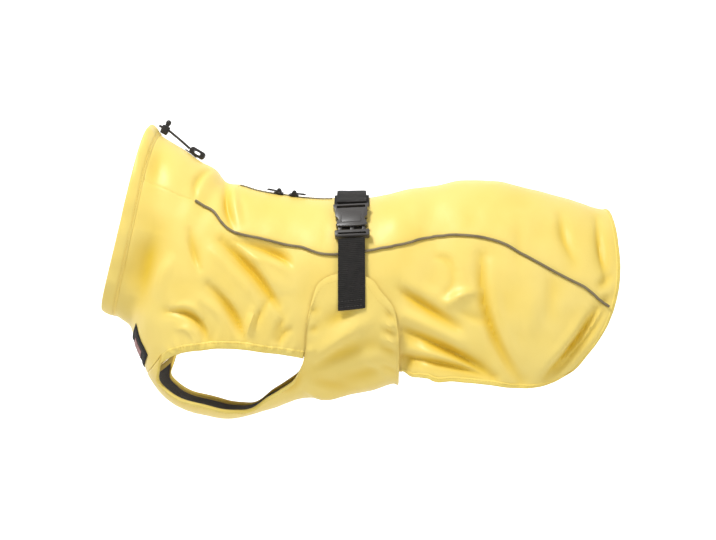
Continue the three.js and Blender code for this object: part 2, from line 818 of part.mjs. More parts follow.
function meshOf(made, name, material) {
  const { vertProperties, triVerts } = made.getMesh();
  const geometry = new THREE.BufferGeometry();
  geometry.setAttribute("position", new THREE.BufferAttribute(vertProperties, 3));
  geometry.setIndex(new THREE.BufferAttribute(triVerts, 1));
  geometry.computeVertexNormals();
  const mesh = new THREE.Mesh(geometry, material);
  mesh.name = name;
  return mesh;
}

function block(width, length, height, x, y, z) {
  return solid(new THREE.BoxGeometry(width, length, height).translate(x, y, z));
}

// A plate with rounded corners in x and y, from z = base up.
function plate(width, length, thick, corner, x, y, base) {
  const [w, l] = [width / 2 - corner, length / 2 - corner];
  const outline = new THREE.Shape();
  [[w, l, 0], [-w, l, 1], [-w, -l, 2], [w, -l, 3]].forEach(([cx, cy, quarter]) => {
    outline.absarc(cx, cy, corner, (quarter * PI) / 2, ((quarter + 1) * PI) / 2, false);
  });
  const options = { depth: thick, bevelEnabled: false, curveSegments: 3 };
  return solid(new THREE.ExtrudeGeometry(outline, options).translate(x, y, base));
}

// A round bar along y.
function bar(radius, length, x, z, sides) {
  return solid(new THREE.CylinderGeometry(radius, radius, length, sides).translate(x, 0, z));
}

// A frame on the coat: x towards the tail along the cloth, z outwards.
function seat(x, turn, out) {
  const at = sectionAtX(x, turn);
  const up = outward(at, turn);
  const step = 0.05;
  const tail = face(at + step, turn).sub(face(at - step, turn));
  const across = new THREE.Vector3().crossVectors(up, tail).normalize();
  const along = new THREE.Vector3().crossVectors(across, up);
  const frame = new THREE.Group();
  frame.quaternion.setFromRotationMatrix(new THREE.Matrix4().makeBasis(along, across, up));
  frame.position.copy(lift(at, turn, out));
  return frame;
}

function zipChain() {
  const place = (s, t, i) => {
    const at = PANEL_ROWS[SLIT.from + i].top;
    const half = turnFor(ZIP.width / 2, at, ZIP.turn);
    const last = SLIT.to - SLIT.from;
    const inset = i === 0 ? SEAM * STEP_PER_MM : i === last ? -SEAM * STEP_PER_MM : 0;
    return { at: at + inset, turn: ZIP.turn + half * (2 * t - 1) };
  };
  const shape = { rows: SLIT.to - SLIT.from, columns: 1, place, inner: -WALL, outer: ZIP.rise };
  return wall("zip_chain", shape, MATERIAL.zip);
}

// A pull tab in the frame of its hinge, pointing to one hand.
function pullTab(hand) {
  const { length, width, thick, corner, tabFrom, neck, neckFrom, neckTo } = PULL;
  const ring = bar(PULL.barrel, neck, 0, 0, 12);
  const bore = bar(PIN.radius + PULL.clear, neck + 1, 0, 0, 10);
  const tabX = (hand * (tabFrom + length)) / 2;
  const tab = plate(length - tabFrom, width, thick, corner, tabX, 0, -thick / 2);
  const stem = block(neckTo - neckFrom, neck, thick, (hand * (neckFrom + neckTo)) / 2, 0, 0);
  return ring.add(stem).add(tab).subtract(bore);
}

// A slider and its pull tab: a flat body with two lugs and the pin that the tab turns on.
function zipSlider({ name, x, hand }) {
  const { length, width, height, corner } = SLIDER;
  const pinZ = height + PIN.rise;
  const lugZ = height + LUG.height / 2 - LUG.sunk;
  const lugY = (PIN.span + LUG.width) / 2;
  const made = plate(length, width, height, corner, 0, 0, 0)
    .add(block(LUG.length, LUG.width, LUG.height, 0, lugY, lugZ))
    .add(block(LUG.length, LUG.width, LUG.height, 0, -lugY, lugZ))
    .add(bar(PIN.radius, PIN.span + LUG.width, 0, pinZ, 10));
  const frame = seat(x, ZIP.turn, SLIDER.seat);
  frame.add(meshOf(made, `zip_slider_${name}`, MATERIAL.zip));
  const hinge = new THREE.Group();
  hinge.position.z = pinZ;
  hinge.add(meshOf(pullTab(hand), `zip_pull_${name}`, MATERIAL.zip));
  frame.add(hinge);
  return frame;
}

// A length of webbing across the coat at x = 0.
function strapLayer({ name, width, from, to, out, thick, rows }) {
  const turnOf = (s) => (from + (to - from) * s) * DEGREE;
  const place = (s, t) => ({ at: sectionAtX((t - 0.5) * width, turnOf(s)), turn: turnOf(s) });
  const rise = (s) => {
    if (name === "strap_anchor") return 0;
    const past = abs(turnOf(s) - BUCKLE.turn) - STRAP_END.reach;
    return STRAP_END.lift * (1 - blend(0, STRAP_END.fade, past));
  };
  const shape = {
    rows,
    columns: 2,
    place,
    inner: (s) => out + rise(s),
    outer: (s) => out + thick + rise(s),
  };
  return wall(name, shape, MATERIAL.webbing);
}

// The side-release buckle, closed: x along the coat, y up towards the ridge, z outwards.
function buckle() {
  const b = BUCKLE;
  const middle = b.thick / 2;
  const inside = b.thick - 2 * b.shell;
  const notch = (hand) => {
    const x = (hand * b.width) / 2;
    return block(2 * b.notch, b.notchLength, b.thick + 2, x, b.notchY, middle);
  };
  const cavityLength = b.cavityTop - b.bottom + 1;
  const cavityY = b.cavityTop - cavityLength / 2;
  const cavity = block(b.width - 2 * b.shell, cavityLength, inside, 0, cavityY, middle);
  const body = plate(b.width, b.top - b.bottom, b.thick, b.corner, 0, (b.top + b.bottom) / 2, 0);
  const rim = plate(b.headWidth, b.rim, b.thick, b.corner, 0, b.top - b.rim / 2, 0);
  const female = body.add(rim).subtract(cavity).subtract(notch(1)).subtract(notch(-1));
  const prongLength = b.prongTop - b.baseTop + 1;
  const prong = (hand) => {
    const x = hand * (b.width / 2 - b.prongInset);
    return block(b.prong, prongLength, inside - 2 * SEAM, x, b.prongTop - prongLength / 2, middle);
  };
  const baseY = (b.baseTop + b.baseBottom) / 2;
  const base = plate(b.headWidth - 1, b.baseTop - b.baseBottom, b.thick, b.corner, 0, baseY, 0);
  const male = base.add(prong(1)).add(prong(-1)).add(prong(0));
  const frame = seat(0, b.turn, b.seat);
  frame.add(meshOf(female, "buckle_female", MATERIAL.plastic));
  frame.add(meshOf(male, "buckle_male", MATERIAL.plastic));
  return frame;
}

function strand(name, hand) {
  const points = CORD_ROUTE.map(({ x, z }) => new THREE.Vector3(x, hand * STRAND_SIDE, z));
  return rod(name, points, CORD_RADIUS, 8, 16, MATERIAL.webbing);
}

// A round post along z from one height to another.
function post(radius, from, to, sides) {
  const geometry = new THREE.CylinderGeometry(radius, radius, to - from, sides);
  return solid(geometry.rotateX(PI / 2).translate(0, 0, (from + to) / 2));
}

// The cord lock: a barrel that the strands pass through and a sprung button in its top.
// Its own frame has z along the barrel, tilted back in the middle plane.
function cordLock() {
  const slotWidth = 2 * (STRAND_SIDE + CORD_RADIUS + STRAND_SLOT);
  const slotHeight = 2 * (CORD_RADIUS + STRAND_SLOT);
  const barrel = post(LOCK.radius, LOCK.bottom, LOCK.top, 20)
    .subtract(post(BUTTON.bore, BUTTON.boreFrom, LOCK.top + 1, 20))
    .subtract(block(4 * LOCK.radius, slotWidth, slotHeight, 0, 0, 0));
  const ball = solid(new THREE.SphereGeometry(BUTTON.radius, 16, 10).rotateX(PI / 2));
  const stem = post(BUTTON.stem, BUTTON.stemFrom, BUTTON.centre - 1, 20);
  const button = ball.translate([0, 0, BUTTON.centre]).add(stem);
  const frame = new THREE.Group();
  frame.position.set(LOCK.x, 0, LOCK.z);
  frame.rotation.y = LOCK.tilt;
  frame.add(meshOf(barrel, "cord_lock_barrel", MATERIAL.plastic));
  frame.add(meshOf(button, "cord_lock_button", MATERIAL.plastic));
  return frame;
}

// The moulded end that joins the strands, with a slot through it from side to side.
function cordEnd() {
  const { x, z, length, height, width, corner } = CORD_END;
  const hole = CORD_END_SLOT;
  const slot = plate(hole.length, hole.height, width + 2, hole.corner, 0, 0, -width / 2 - 1);
  const made = plate(length, height, width, corner, 0, 0, -width / 2).subtract(slot);
  const frame = new THREE.Group();
  frame.position.set(x, 0, z);
  frame.rotation.y = CORD_END_DIP;
  frame.add(meshOf(made.rotate([90, 0, 0]), "cord_end", MATERIAL.plastic));
  return frame;
}

coat.add(
  collarCasing(),
  backPanel(),
  sidePanel("side_panel_left", 1),
  sidePanel("side_panel_right", -1),
  chestPanel(),
  chestLining(),
  chestBinding("chest_edge_binding_left", 1),
  chestBinding("chest_edge_binding_right", -1),
  legBinding("leg_binding_left", 1),
  legBinding("leg_binding_right", -1),
  hemBinding(),
  chestPatch(),
  piping("piping_left", 1),
  piping("piping_right", -1),
  zipChain(),
  ...SLIDERS.map(zipSlider),
  ...STRAP_LAYERS.map(strapLayer),
  buckle(),
  strand("drawstring_left", -1),
  strand("drawstring_right", 1),
  cordLock(),
  cordEnd(),
);

export default coat;
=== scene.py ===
# Looks of a worn dog raincoat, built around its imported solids.
# Shapes are worked out in millimetres, +X towards the tail, +Z up and the dog's left side
# towards -Y, and are scaled to metres when a mesh is made.
import math

import bmesh
import bpy
import numpy as np
from mathutils import Matrix, Vector


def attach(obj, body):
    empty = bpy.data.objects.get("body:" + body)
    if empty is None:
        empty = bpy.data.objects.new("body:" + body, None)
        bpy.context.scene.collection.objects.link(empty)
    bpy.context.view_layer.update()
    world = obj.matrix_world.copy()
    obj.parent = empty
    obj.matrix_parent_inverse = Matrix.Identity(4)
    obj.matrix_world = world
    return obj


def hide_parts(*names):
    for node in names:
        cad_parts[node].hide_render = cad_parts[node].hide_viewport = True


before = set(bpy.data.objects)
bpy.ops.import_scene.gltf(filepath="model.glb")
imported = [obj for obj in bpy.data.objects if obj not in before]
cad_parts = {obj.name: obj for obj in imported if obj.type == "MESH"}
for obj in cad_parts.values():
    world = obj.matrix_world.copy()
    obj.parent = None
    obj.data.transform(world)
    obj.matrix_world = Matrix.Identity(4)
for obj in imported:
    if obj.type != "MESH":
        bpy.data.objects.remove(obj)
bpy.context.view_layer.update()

MM = 0.001
PI = math.pi
DEGREE = PI / 180

# Sizes shared with the solids
SEAM = 0.3
BAND_SEAM = 0.7
WALL = 2
FLAP_LIFT = 3.3
EDGE_BAND = 4.5
HEM_BAND = 5
PIPING_RADIUS = 1.25
CORD_RADIUS = 1.25
EYE = np.array([6.0, -1200.0, -70.0])
WIDEST = 0.45
BOW_SKEW = 1.25
STEP_PER_MM = 1 / 15
ZIP = {"front": -111, "rear": -21, "turn": 0.2, "width": 3.4}
BUCKLE_TURN = 47 * DEGREE

# How thick the cloth is, and how far it runs under a band or seam that covers its edge.
CLOTH = 1.1
TUCK = 2
MEET = 0.05

# Cross-sections of the outer face from the collar's rim to the rear hem: ridge x, ridge z,
# keel x, keel z, half width, squareness below, bow towards the tail, bow end.
SECTIONS = np.array([
    [-200, 75, -249, -109, 60, 2.0, 6, 1],
    [-190, 64, -235, -116, 60, 2.0, 6, 1],
    [-168, 51, -228, -121, 60, 2.0, 4, 1],
    [-150, 38, -221, -127, 62, 2.0, 2, 1],
    [-136, 30, -216, -138, 64, 2.1, 0, 1],
    [-125, 18, -212, -150, 67, 2.2, 0, 1],
    [-110, 15, -207, -162, 69, 2.3, 0, 1],
    [-94, 10.5, -199, -180, 71, 2.4, 0, 1],
    [-77, 7.5, -181, -201, 72, 2.5, 0, 1],
    [-60, 5, -152, -213, 72, 2.5, 0, 1],
    [-44, 3, -117, -218, 72, 2.5, 0, 1],
    [-30, 2, -82, -208, 71, 2.5, 0, 1],
    [-14, 2, -52, -195, 70, 2.5, 0, 1],
    [2, 2, -17, -193, 70, 2.5, 0, 1],
    [23, 3, 18, -187, 70, 2.5, 0, 1],
    [43, 8, 46, -181, 71, 2.4, 0, 1],
    [60, 11.5, 58, -210, 72, 2.3, 1, 0.9],
    [80, 14, 72, -263, 74, 2.2, 2, 0.7],
    [108, 19.5, 93, -268, 76, 2.1, 4, 0.7],
    [148, 18, 116, -272, 77, 2.0, 9, 0.7],
    [178, 11, 131, -271, 76, 2.0, 15, 0.7],
    [208, 3, 145, -268, 74, 2.0, 20, 0.7],
    [238, -6, 158, -260, 70, 2.0, 25, 0.7],
    [255, -10, 169, -253, 64, 2.0, 28, 0.7],
], float)
LAST = len(SECTIONS) - 1

# Seam between the back panel and a side panel: x, z as seen from the left.
BACK_SEAM = np.array([
    [-209, 22], [-184, 10], [-157, -1], [-143, -9], [-130, -23], [-118, -32], [-90, -39],
    [-52, -47], [-27, -54.5], [0, -53], [27, -49], [41, -46.5], [56, -43], [79, -38],
    [94, -36], [109, -35.5], [140, -40], [170, -54], [201, -71], [232, -87], [246, -99],
    [250, -112],
], float)
PIPING_FIRST = 2

# Upper edge of a leg hole and of the band along it: x, z, band x, band z, and the section
# number at which a row of the side panel starts at the back seam.
LEG_TOP = np.array([
    [-191, -163, -190.6, -155, 7],
    [-180, -156.5, -183.5, -149, 7.3],
    [-171, -153.6, -173, -145.4, 7.6],
    [-162, -152, -163, -143.6, 7.95],
    [-152, -151, -152, -142.5, 8.25],
    [-132, -149, -132, -140.5, 8.85],
    [-102, -151, -102, -142.5, 9.75],
    [-72, -155, -72, -146.5, 10.8],
    [-50, -158.5, -50, -150, 11.7],
], float)

# Lower border of a side panel behind the leg hole: section number, turn in degrees.
HEM = np.array([
    [12.5, 138], [13.3, 148], [14.4, 151], [15, 148], [15.5, 141], [16, 131], [16.5, 119],
    [17, 112.5], [18, 113.5], [19, 114.5], [20, 115], [21, 115], [22, 114.5],
    [22.6, 112.5], [23, 109.6],
], float)

# Left edge of the panel under the chest and belly: x, z, section number on the keel.
CHEST_EDGE = np.array([
    [-191, -156.3, 6.5], [-193.5, -171, 6.9], [-194, -181, 7.4], [-186, -191, 7.9],
    [-171, -200, 8.4], [-149, -205.5, 9], [-118, -212, 9.8], [-99, -210, 10.3],
    [-82, -197, 10.9], [-61, -182, 11.5], [-53, -170, 11.9], [-48, -156, 12.2],
    [-45.5, -138, 12.4], [-43, -112, 12.6], [-33, -83, 12.8], [-14, -74, 13.1],
    [6, -73, 13.5], [27, -89, 14], [42, -109, 14.6], [47, -134, 15.1],
], float)
CHEST_ROWS = 29
CHEST_COLUMNS = 14
FLAP_ROW = 10.6
CHEST_START = CHEST_EDGE[0, 2]

# Folds as seen from the left: from x, from z, to x, to z, bend, half width, rise, and how
# much steeper the fold is on the side that its bend points away from.
LEFT_FOLDS = np.array([
    [-126, 14, -119, -26, 2, 6, -3.5, 1],
    [-199, -32, -215, -98, 3, 14, -4, 1],
    [-114, -43, -38, -86, -9, 8, -4, 1],
    [-130, -42, -74, -112, -5, 8, -5, 1],
    [-162, -33, -154, -66, 0, 7, -2, 1],
    [-143, -87, -108, -138, -4, 7, -3.5, 1],
    [-105, -136, -98, -113, 0, 7, 3, 1],
    [-185, -113, -146, -138, -10, 7, -3.5, 1],
    [-72, -140, -50, -134, -7, 6, -2.5, 1],
    [45, -92, 102, -126, 0, 9, -4, 1],
    [50, -134, 141, -177, -3, 8, -6, 1],
    [52, -158, 120, -177, -2, 6.5, -3.5, 1],
    [98, -103, 121, -92, 0, 8, 3, 1],
    [129, -57, 168, -180, 11, 8, -4, 1],
    [245, -110, 195, -177, -3, 7, -4.5, 1],
    [245, -22, 253, -72, 0, 7, -2.5, 1],
    [208, -18, 222, -60, 2, 8, -2, 1],
], float)
RIGHT_FOLDS = np.array([
    [-128, 8, -116, -34, 3, 7, -3, 1],
    [-204, -38, -219, -96, 3, 14, -3.5, 1],
    [-110, -46, -44, -82, -7, 8, -3.5, 1],
    [-134, -44, -80, -106, -4, 8, -4.5, 1],
    [-148, -84, -116, -134, -3, 7, -3, 1],
    [-108, -138, -96, -118, 0, 7, 2.5, 1],
    [-180, -116, -150, -138, -8, 7, -3, 1],
    [-76, -138, -54, -133, -5, 6, -2.5, 1],
    [42, -90, 106, -134, 2, 9, -4.5, 1],
    [46, -132, 132, -176, -3, 8, -5, 1],
    [92, -106, 118, -90, 0, 8, 2.5, 1],
    [134, -60, 162, -178, 8, 8, -4, 1],
    [244, -114, 196, -175, -3, 7, -4, 1],
    [214, -30, 226, -72, 0, 8, -2, 1],
], float)

# Creases that only the cloth itself shows, on the left.
CREASES = np.array([
    [-192, 50, -196, 12, 0, 9, -2.6, 1],
    [-198, -34, -211, -96, 3, 8, -2.4, 1.4],
    [-182, -60, -192, -90, 2, 6, 2.4, 1],
    [-163, -32, -153, -68, 2, 4, -2.6, 1.6],
    [-157, 5, -141, 31, -5, 4.5, -2.8, 1.4],
    [-126, 15, -119, -28, 2, 4.4, -2.6, 1.5],
    [-119, 12, -114, -20, 1, 4.6, 1.5, 1],
    [-112, 10, -108, -22, 1, 5, -0.9, 1.2],
    [-130, -41, -72, -113, -5, 4.5, -4.2, 1.8],
    [-116, -44, -76, -90, -4, 6, 3.2, 1],
    [-140, -52, -96, -106, -4, 6, 2.2, 1],
    [-114, -41, -36, -88, -9, 4.6, -3.4, 1.8],
    [-98, -58, -50, -86, -7, 5.5, 3, 1],
    [-144, -86, -107, -141, -4, 4.4, -3.8, 1.8],
    [-150, -100, -122, -136, -5, 5, 2.4, 1],
    [-105, -140, -97, -111, 0, 4.4, 3, 1],
    [-100, -142, -83, -100, -3, 4.4, -2.8, 1.4],
    [-186, -112, -145, -141, -10, 4.4, -3.6, 1.8],
    [-178, -107, -150, -124, -8, 5, 2.6, 1],
    [-174, -128, -158, -141, -5, 4, 2.2, 1],
    [-76, -140, -62, -110, -2, 4.2, -2.8, 1.3],
    [-72, -141, -49, -135, -8, 3.8, -3.2, 1.4],
    [-66, -132, -52, -124, -4, 4, 2, 1],
    [-62, -96, -42, -101, 0, 5, -2.6, 1.3],
    [-84, -100, -58, -120, 3, 6, 1.8, 1],
    [40, -86, 104, -127, 0, 5.5, -4.2, 1.8],
    [56, -84, 110, -114, -2, 7, 2.4, 1],
    [46, -112, 108, -142, -2, 6, 3.4, 1],
    [45, -129, 142, -178, -3, 5, -4.4, 1.7],
    [60, -147, 134, -177, -3, 4.4, 3, 1],
    [45, -158, 138, -179, -3, 4, -4.2, 1.7],
    [44, -160, 60, -165, 0, 6, -3.6, 1],
    [98, -104, 121, -92, -2, 4.6, 3, 1.4],
    [103, -108, 136, -122, 2, 6, -2.4, 1.3],
    [84, -56, 101, -71, -4, 5, -2.4, 1.2],
    [101, -72, 88, -98, -5, 5, -2, 1.2],
    [129, -56, 168, -182, 11, 5.2, -3, 1.35],
    [139, -66, 172, -168, 10, 7, 2.4, 1],
    [168, -26, 165, -68, 0, 7, -1.5, 1],
    [200, -76, 198, -118, 0, 7, -1.8, 1],
    [182, -92, 180, -140, 2, 8, 1.5, 1],
    [208, -16, 222, -60, 2, 5, -2.4, 1.4],
    [245, -20, 254, -76, 1, 4, -2.6, 1.6],
    [246, -109, 195, -178, -3, 4.2, -3.6, 1.5],
    [252, -112, 204, -175, -3, 3, -3.2, 1.3],
    [236, -110, 190, -170, -3, 6, 2.6, 1],
    [249, -112, 208, -166, -3, 2.6, 2.6, 1],
    [246, -86, 259, -76, 1, 4, -3.6, 1],
    [250, -102, 259, -99, 0, 3, -2.8, 1],
], float)
RIGHT_CREASES = CREASES + np.random.default_rng(11).normal(0, 1, CREASES.shape) * [
    6, 4, 6, 5, 1.5, 0.4, 0.25, 0]

# Creases of the belly flap on its left and right.
FLAP_FOLDS = np.array([
    [-34, -155, 16, -122, -2, 8, 4.8, 1.5],
    [-36, -166, 26, -142, -2, 8, -3.2, 1.3],
    [-28, -122, 6, -104, 2, 8, -3, 1.2],
    [-46, -187, -8, -194, 3, 4.5, 3.4, 1.4],
    [-40, -178, 0, -184, 2, 6, -2.4, 1],
    [-10, -176, 36, -160, 4, 7, -2.6, 1.2],
    [12, -148, 40, -172, 3, 6, 2.4, 1],
    [32, -112, 42, -117, 0, 3, -1.9, 1],
    [31, -121, 43, -126, 1, 2.6, 1.9, 1],
    [30, -129, 44, -134, 0, 2.8, -2.2, 1],
    [29, -138, 44, -143, -1, 2.6, 2, 1],
    [28, -147, 44, -152, 0, 3, -2.3, 1],
    [28, -156, 45, -161, 1, 2.8, 1.9, 1],
    [29, -165, 45, -170, 0, 3, -2, 1],
    [-42, -112, -32, -108, 0, 3.4, -1.8, 1],
    [-43, -130, -33, -127, 0, 3.2, -1.9, 1],
    [-46, -150, -35, -147, 0, 3.4, 1.8, 1],
    [-76, -190, -50, -172, 3, 6, -3, 1.2],
    [-98, -206, -70, -194, 2, 5, 2, 1],
], float)

# Puckers above the left leg band: x, how far the pucker leans, its length and its rise.
PUCKERS = np.array([
    [-184, -8, 14, 1.3], [-175, -6, 18, 1.7], [-166, -3, 13, 1.2], [-156, 2, 20, 1.6],
    [-146, 1, 14, 1.1], [-135, 4, 18, 1.5], [-123, 3, 13, 1.1], [-112, 2, 17, 1.4],
    [-100, 5, 22, 1.6], [-89, 4, 13, 1.2], [-79, 6, 16, 1.6], [-69, 8, 18, 1.9],
    [-60, 6, 13, 1.5],
], float)
PUCKER_WIDTH = 3.4

# Ripples all over: wave vector x, z in turns a millimetre, phase and height.
RIPPLES = np.array([
    [0.016, 0.007, 0.3, 0.22], [0.009, -0.021, 1.9, 0.2], [-0.024, 0.011, 4.1, 0.16],
    [0.031, 0.024, 2.6, 0.1], [0.006, 0.037, 5.2, 0.1], [0.043, -0.018, 0.9, 0.07],
], float)

# The cord's route on the middle plane: x, z.
CORD_ROUTE = np.array([
    [-192.4, 74.3], [-189.8, 72.9], [-186.4, 71.1], [-182.9, 69.2], [-176, 63.6],
    [-169, 57.6], [-162.4, 51.7],
], float)
STRAND_SIDE = 1.35


# Interpolation

def row_of(rows, at):
    """The smooth row of a table at any number between its rows."""
    at = np.asarray(at, float)
    i = np.clip(np.floor(at).astype(int), 0, len(rows) - 2)
    t = (at - i)[..., None]
    a, b, c, d = (rows[np.clip(i + k, 0, len(rows) - 1)] for k in (-1, 0, 1, 2))
    bend = 2 * a - 5 * b + 4 * c - d
    twist = 3 * b - a - 3 * c + d
    return 0.5 * (2 * b + (c - a) * t + bend * t ** 2 + twist * t ** 3)


def turn_at(places, at):
    """The turn at a section number of a curve through places, rows of section and turn."""
    at = np.asarray(at, float)
    i = np.clip(np.searchsorted(places[:, 0], at, side="right") - 1, 0, len(places) - 2)
    t = np.clip((at - places[i, 0]) / (places[i + 1, 0] - places[i, 0]), 0, 1)
    return row_of(places[:, 1:2], i + np.minimum(t, 1 - 1e-9))[..., 0]


def fade(low, high, value):
    t = np.clip((value - low) / (high - low), 0, 1)
    return t * t * (3 - 2 * t)


# The coat's surface

def face(at, turn):
    """The outer face at a section number and a turn from the ridge, positive on the left."""
    at, turn = np.broadcast_arrays(np.asarray(at, float), np.asarray(turn, float))
    turn = (turn + PI) % (2 * PI) - PI
    ridge_x, ridge_z, keel_x, keel_z, half, low, bow, bow_end = np.moveaxis(
        row_of(SECTIONS, at), -1, 0)
    angle = np.abs(turn)
    upper = angle < PI / 2
    power = np.where(upper, 1, 2 / low)
    rise = np.abs(np.cos(angle)) ** power
    depth = np.where(upper, WIDEST * (1 - rise), WIDEST + (1 - WIDEST) * rise)
    swing = np.sin(PI * np.minimum(depth / bow_end, 1) ** BOW_SKEW)
    x = ridge_x + (keel_x - ridge_x) * depth + bow * np.maximum(swing, 0) ** 0.8
    y = -np.sign(turn) * half * np.abs(np.sin(angle)) ** power
    z = ridge_z + (keel_z - ridge_z) * depth
    return np.stack([x, y, z], -1)


def unit(vectors):
    return vectors / np.maximum(np.linalg.norm(vectors, axis=-1, keepdims=True), 1e-12)


def outward(at, turn):
    step = 0.02
    back = face(at + step, turn) - face(at - step, turn)
    round_ = face(at, turn + step) - face(at, turn - step)
    return unit(np.cross(round_, back))


def turn_for(length, at, turn):
    """The turn that a length round the coat makes at a place."""
    step = 0.02
    span = np.linalg.norm(face(at, turn + step) - face(at, turn - step), axis=-1)
    return length * 2 * step / span


def seen(point):
    """Points of the surface as the eye sees them on the middle plane."""
    scale = EYE[1] / (np.abs(point[..., 1]) + EYE[1])
    return (EYE[0] + (point[..., 0] - EYE[0]) * scale,
            EYE[2] + (point[..., 2] - EYE[2]) * scale)


SCOUT_AT, SCOUT_TURN = (a.ravel() for a in np.meshgrid(
    np.arange(0, LAST + 0.5, 0.5), np.arange(6, 175, 6) * DEGREE, indexing="ij"))
SCOUT_SPOTS = np.stack(seen(face(SCOUT_AT, SCOUT_TURN)), -1)


def locate(spots):
    """Section numbers and turns of places on the left side, from where the eye sees them."""
    spots = np.asarray(spots, float)
    nearest = ((SCOUT_SPOTS[None] - spots[:, None]) ** 2).sum(-1).argmin(1)
    at, turn = SCOUT_AT[nearest].copy(), SCOUT_TURN[nearest].copy()
    step = 0.004
    for _ in range(12):
        here = np.stack(seen(face(at, turn)), -1)
        back = (np.stack(seen(face(at + step, turn)), -1) - here) / step
        down = (np.stack(seen(face(at, turn + step)), -1) - here) / step
        miss = spots - here
        area = back[:, 0] * down[:, 1] - down[:, 0] * back[:, 1]
        at += np.clip((miss[:, 0] * down[:, 1] - miss[:, 1] * down[:, 0]) / area, -0.5, 0.5)
        turn += np.clip((back[:, 0] * miss[:, 1] - back[:, 1] * miss[:, 0]) / area, -0.2, 0.2)
        turn = np.clip(turn, 0.5 * DEGREE, PI - 0.5 * DEGREE)
    return np.stack([at, turn], -1)


def fold_sum(folds, x, z):
    """How far a table of folds moves the cloth at spots of the middle plane."""
    total = np.zeros_like(x)
    for from_x, from_z, to_x, to_z, bend, width, rise, skew in folds:
        run_x, run_z = to_x - from_x, to_z - from_z
        length = math.hypot(run_x, run_z)
        along = ((x - from_x) * run_x + (z - from_z) * run_z) / length ** 2
        aside = ((x - from_x) * run_z - (z - from_z) * run_x) / length
        t = np.clip(along, 0, 1)
        past = (along - t) * length
        off = aside - bend * 4 * t * (1 - t)
        off = np.where(off > 0, off * skew, off)
        taper = 0.35 + 0.65 * np.sin(PI * t)
        total += rise * taper * np.exp(-(off ** 2 + past ** 2) / width ** 2)
    return total


def pucker_sum(x, z):
    """The gathers that the elastic leg band draws into the cloth above it."""
    band_z = np.interp(x, LEG_TOP[:, 2], LEG_TOP[:, 3])
    above = z - band_z
    total = np.zeros_like(x)
    for at_x, lean, length, rise in PUCKERS:
        share = np.clip(above / length, -0.2, 1)
        off = x - at_x - lean * share
        total += rise * (1 - np.maximum(share, 0)) ** 1.5 * np.exp(-((off / PUCKER_WIDTH) ** 2))
    inside = fade(-196, -188, x) * (1 - fade(-54, -47, x)) * fade(-9, -3, above)
    return total * inside


def folded(at, turn):
    """How far all the folds move the cloth at places, outwards."""
    point = face(at, turn)
    x, z = seen(point)
    left = point[..., 1] < 0
    main = np.where(left, fold_sum(LEFT_FOLDS, x, z), fold_sum(RIGHT_FOLDS, x, z))
    fine = np.where(left, fold_sum(CREASES, x, z), fold_sum(RIGHT_CREASES, x, z))
    ahead = fade(-52, -68, point[..., 0])
    behind = fade(36, 54, point[..., 0])
    flank = fade(2, 24, np.abs(point[..., 1]))
    gathers = np.where(left, pucker_sum(x, z), pucker_sum(x + 3, z - 1))
    waves = sum(h * np.sin(2 * PI * (x * u + z * w) + p) for u, w, p, h in RIPPLES)
    near_strap = fade(16, 30, np.abs(point[..., 0]))
    return ((main + fine) * np.maximum(ahead, behind) * flank + gathers * flank
            + waves * near_strap)


def crease_shade_share(shift):
    """How much painted shade a crease puts in the colour: from 0 on smooth cloth to 1 at the bottom
    of a deep crease.
    """
    return np.clip(-shift / 6, 0, 1)


def flap_shift(base):
    x, z = seen(base)
    return fold_sum(FLAP_FOLDS, x, z) * fade(2, 20, np.abs(base[..., 1]))


def lift(at, turn, out, flap=False):
    """Points a distance out from the folded cloth, or from the flap's own face."""
    base = face(at, turn)
    if flap:
        shift = flap_shift(base)
    else:
        shift = folded(at, turn)
    return base + outward(at, turn) * (shift + out)[..., None]


# Curves on the surface
back_seam = locate(BACK_SEAM)
back_seam[0, 0] = min(back_seam[0, 0], 1)
back_seam[-1, 0] = LAST
chest_edge = np.hstack([locate(CHEST_EDGE[:, :2]), CHEST_EDGE[:, 2:]])
leg_top = locate(LEG_TOP[:, :2])
leg_band = np.hstack([locate(LEG_TOP[:, 2:4]), LEG_TOP[:, 4:]])
hem = np.stack([HEM[:, 0], HEM[:, 1] * DEGREE, HEM[:, 0]], -1)

FIRST_AT = 1 - TUCK * STEP_PER_MM
HEM_START = 15.3
REAR_EDGE = LAST - (HEM_BAND - TUCK) * STEP_PER_MM
CORNER_CUT = 0.6 * DEGREE


# Meshes

def new_object(name, points, faces, materials, indices=None, uv=None, depth=None, sharp=40):
    """An object from points in millimetres, smooth but for edges sharper than an angle."""
    mesh = bpy.data.meshes.new(name)
    mesh.from_pydata((np.asarray(points, float) * MM).tolist(), [], faces)
    for one in materials:
        mesh.materials.append(one)
    if indices is not None:
        mesh.polygons.foreach_set("material_index", np.asarray(indices, np.int32))
    if uv is not None:
        layer = mesh.uv_layers.new(name="cloth")
        corners = np.zeros(len(mesh.loops), np.int32)
        mesh.loops.foreach_get("vertex_index", corners)
        layer.data.foreach_set("uv", np.asarray(uv, np.float32)[corners].ravel())
    # depth is the share of painted crease shade, kept on the points for the cloth's colour.
    if depth is not None:
        shade = mesh.attributes.new("depth", "FLOAT", "POINT")
        shade.data.foreach_set("value", np.asarray(depth, np.float32))
    mesh.shade_smooth()
    mesh.set_sharp_from_angle(angle=sharp * DEGREE)
    mesh.validate()
    made = bpy.data.objects.new(name, mesh)
    bpy.context.scene.collection.objects.link(made)
    return made


def place_piece(made, body="coat", nodes=()):
    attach(made, body)
    if nodes:
        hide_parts(*nodes)
    return made


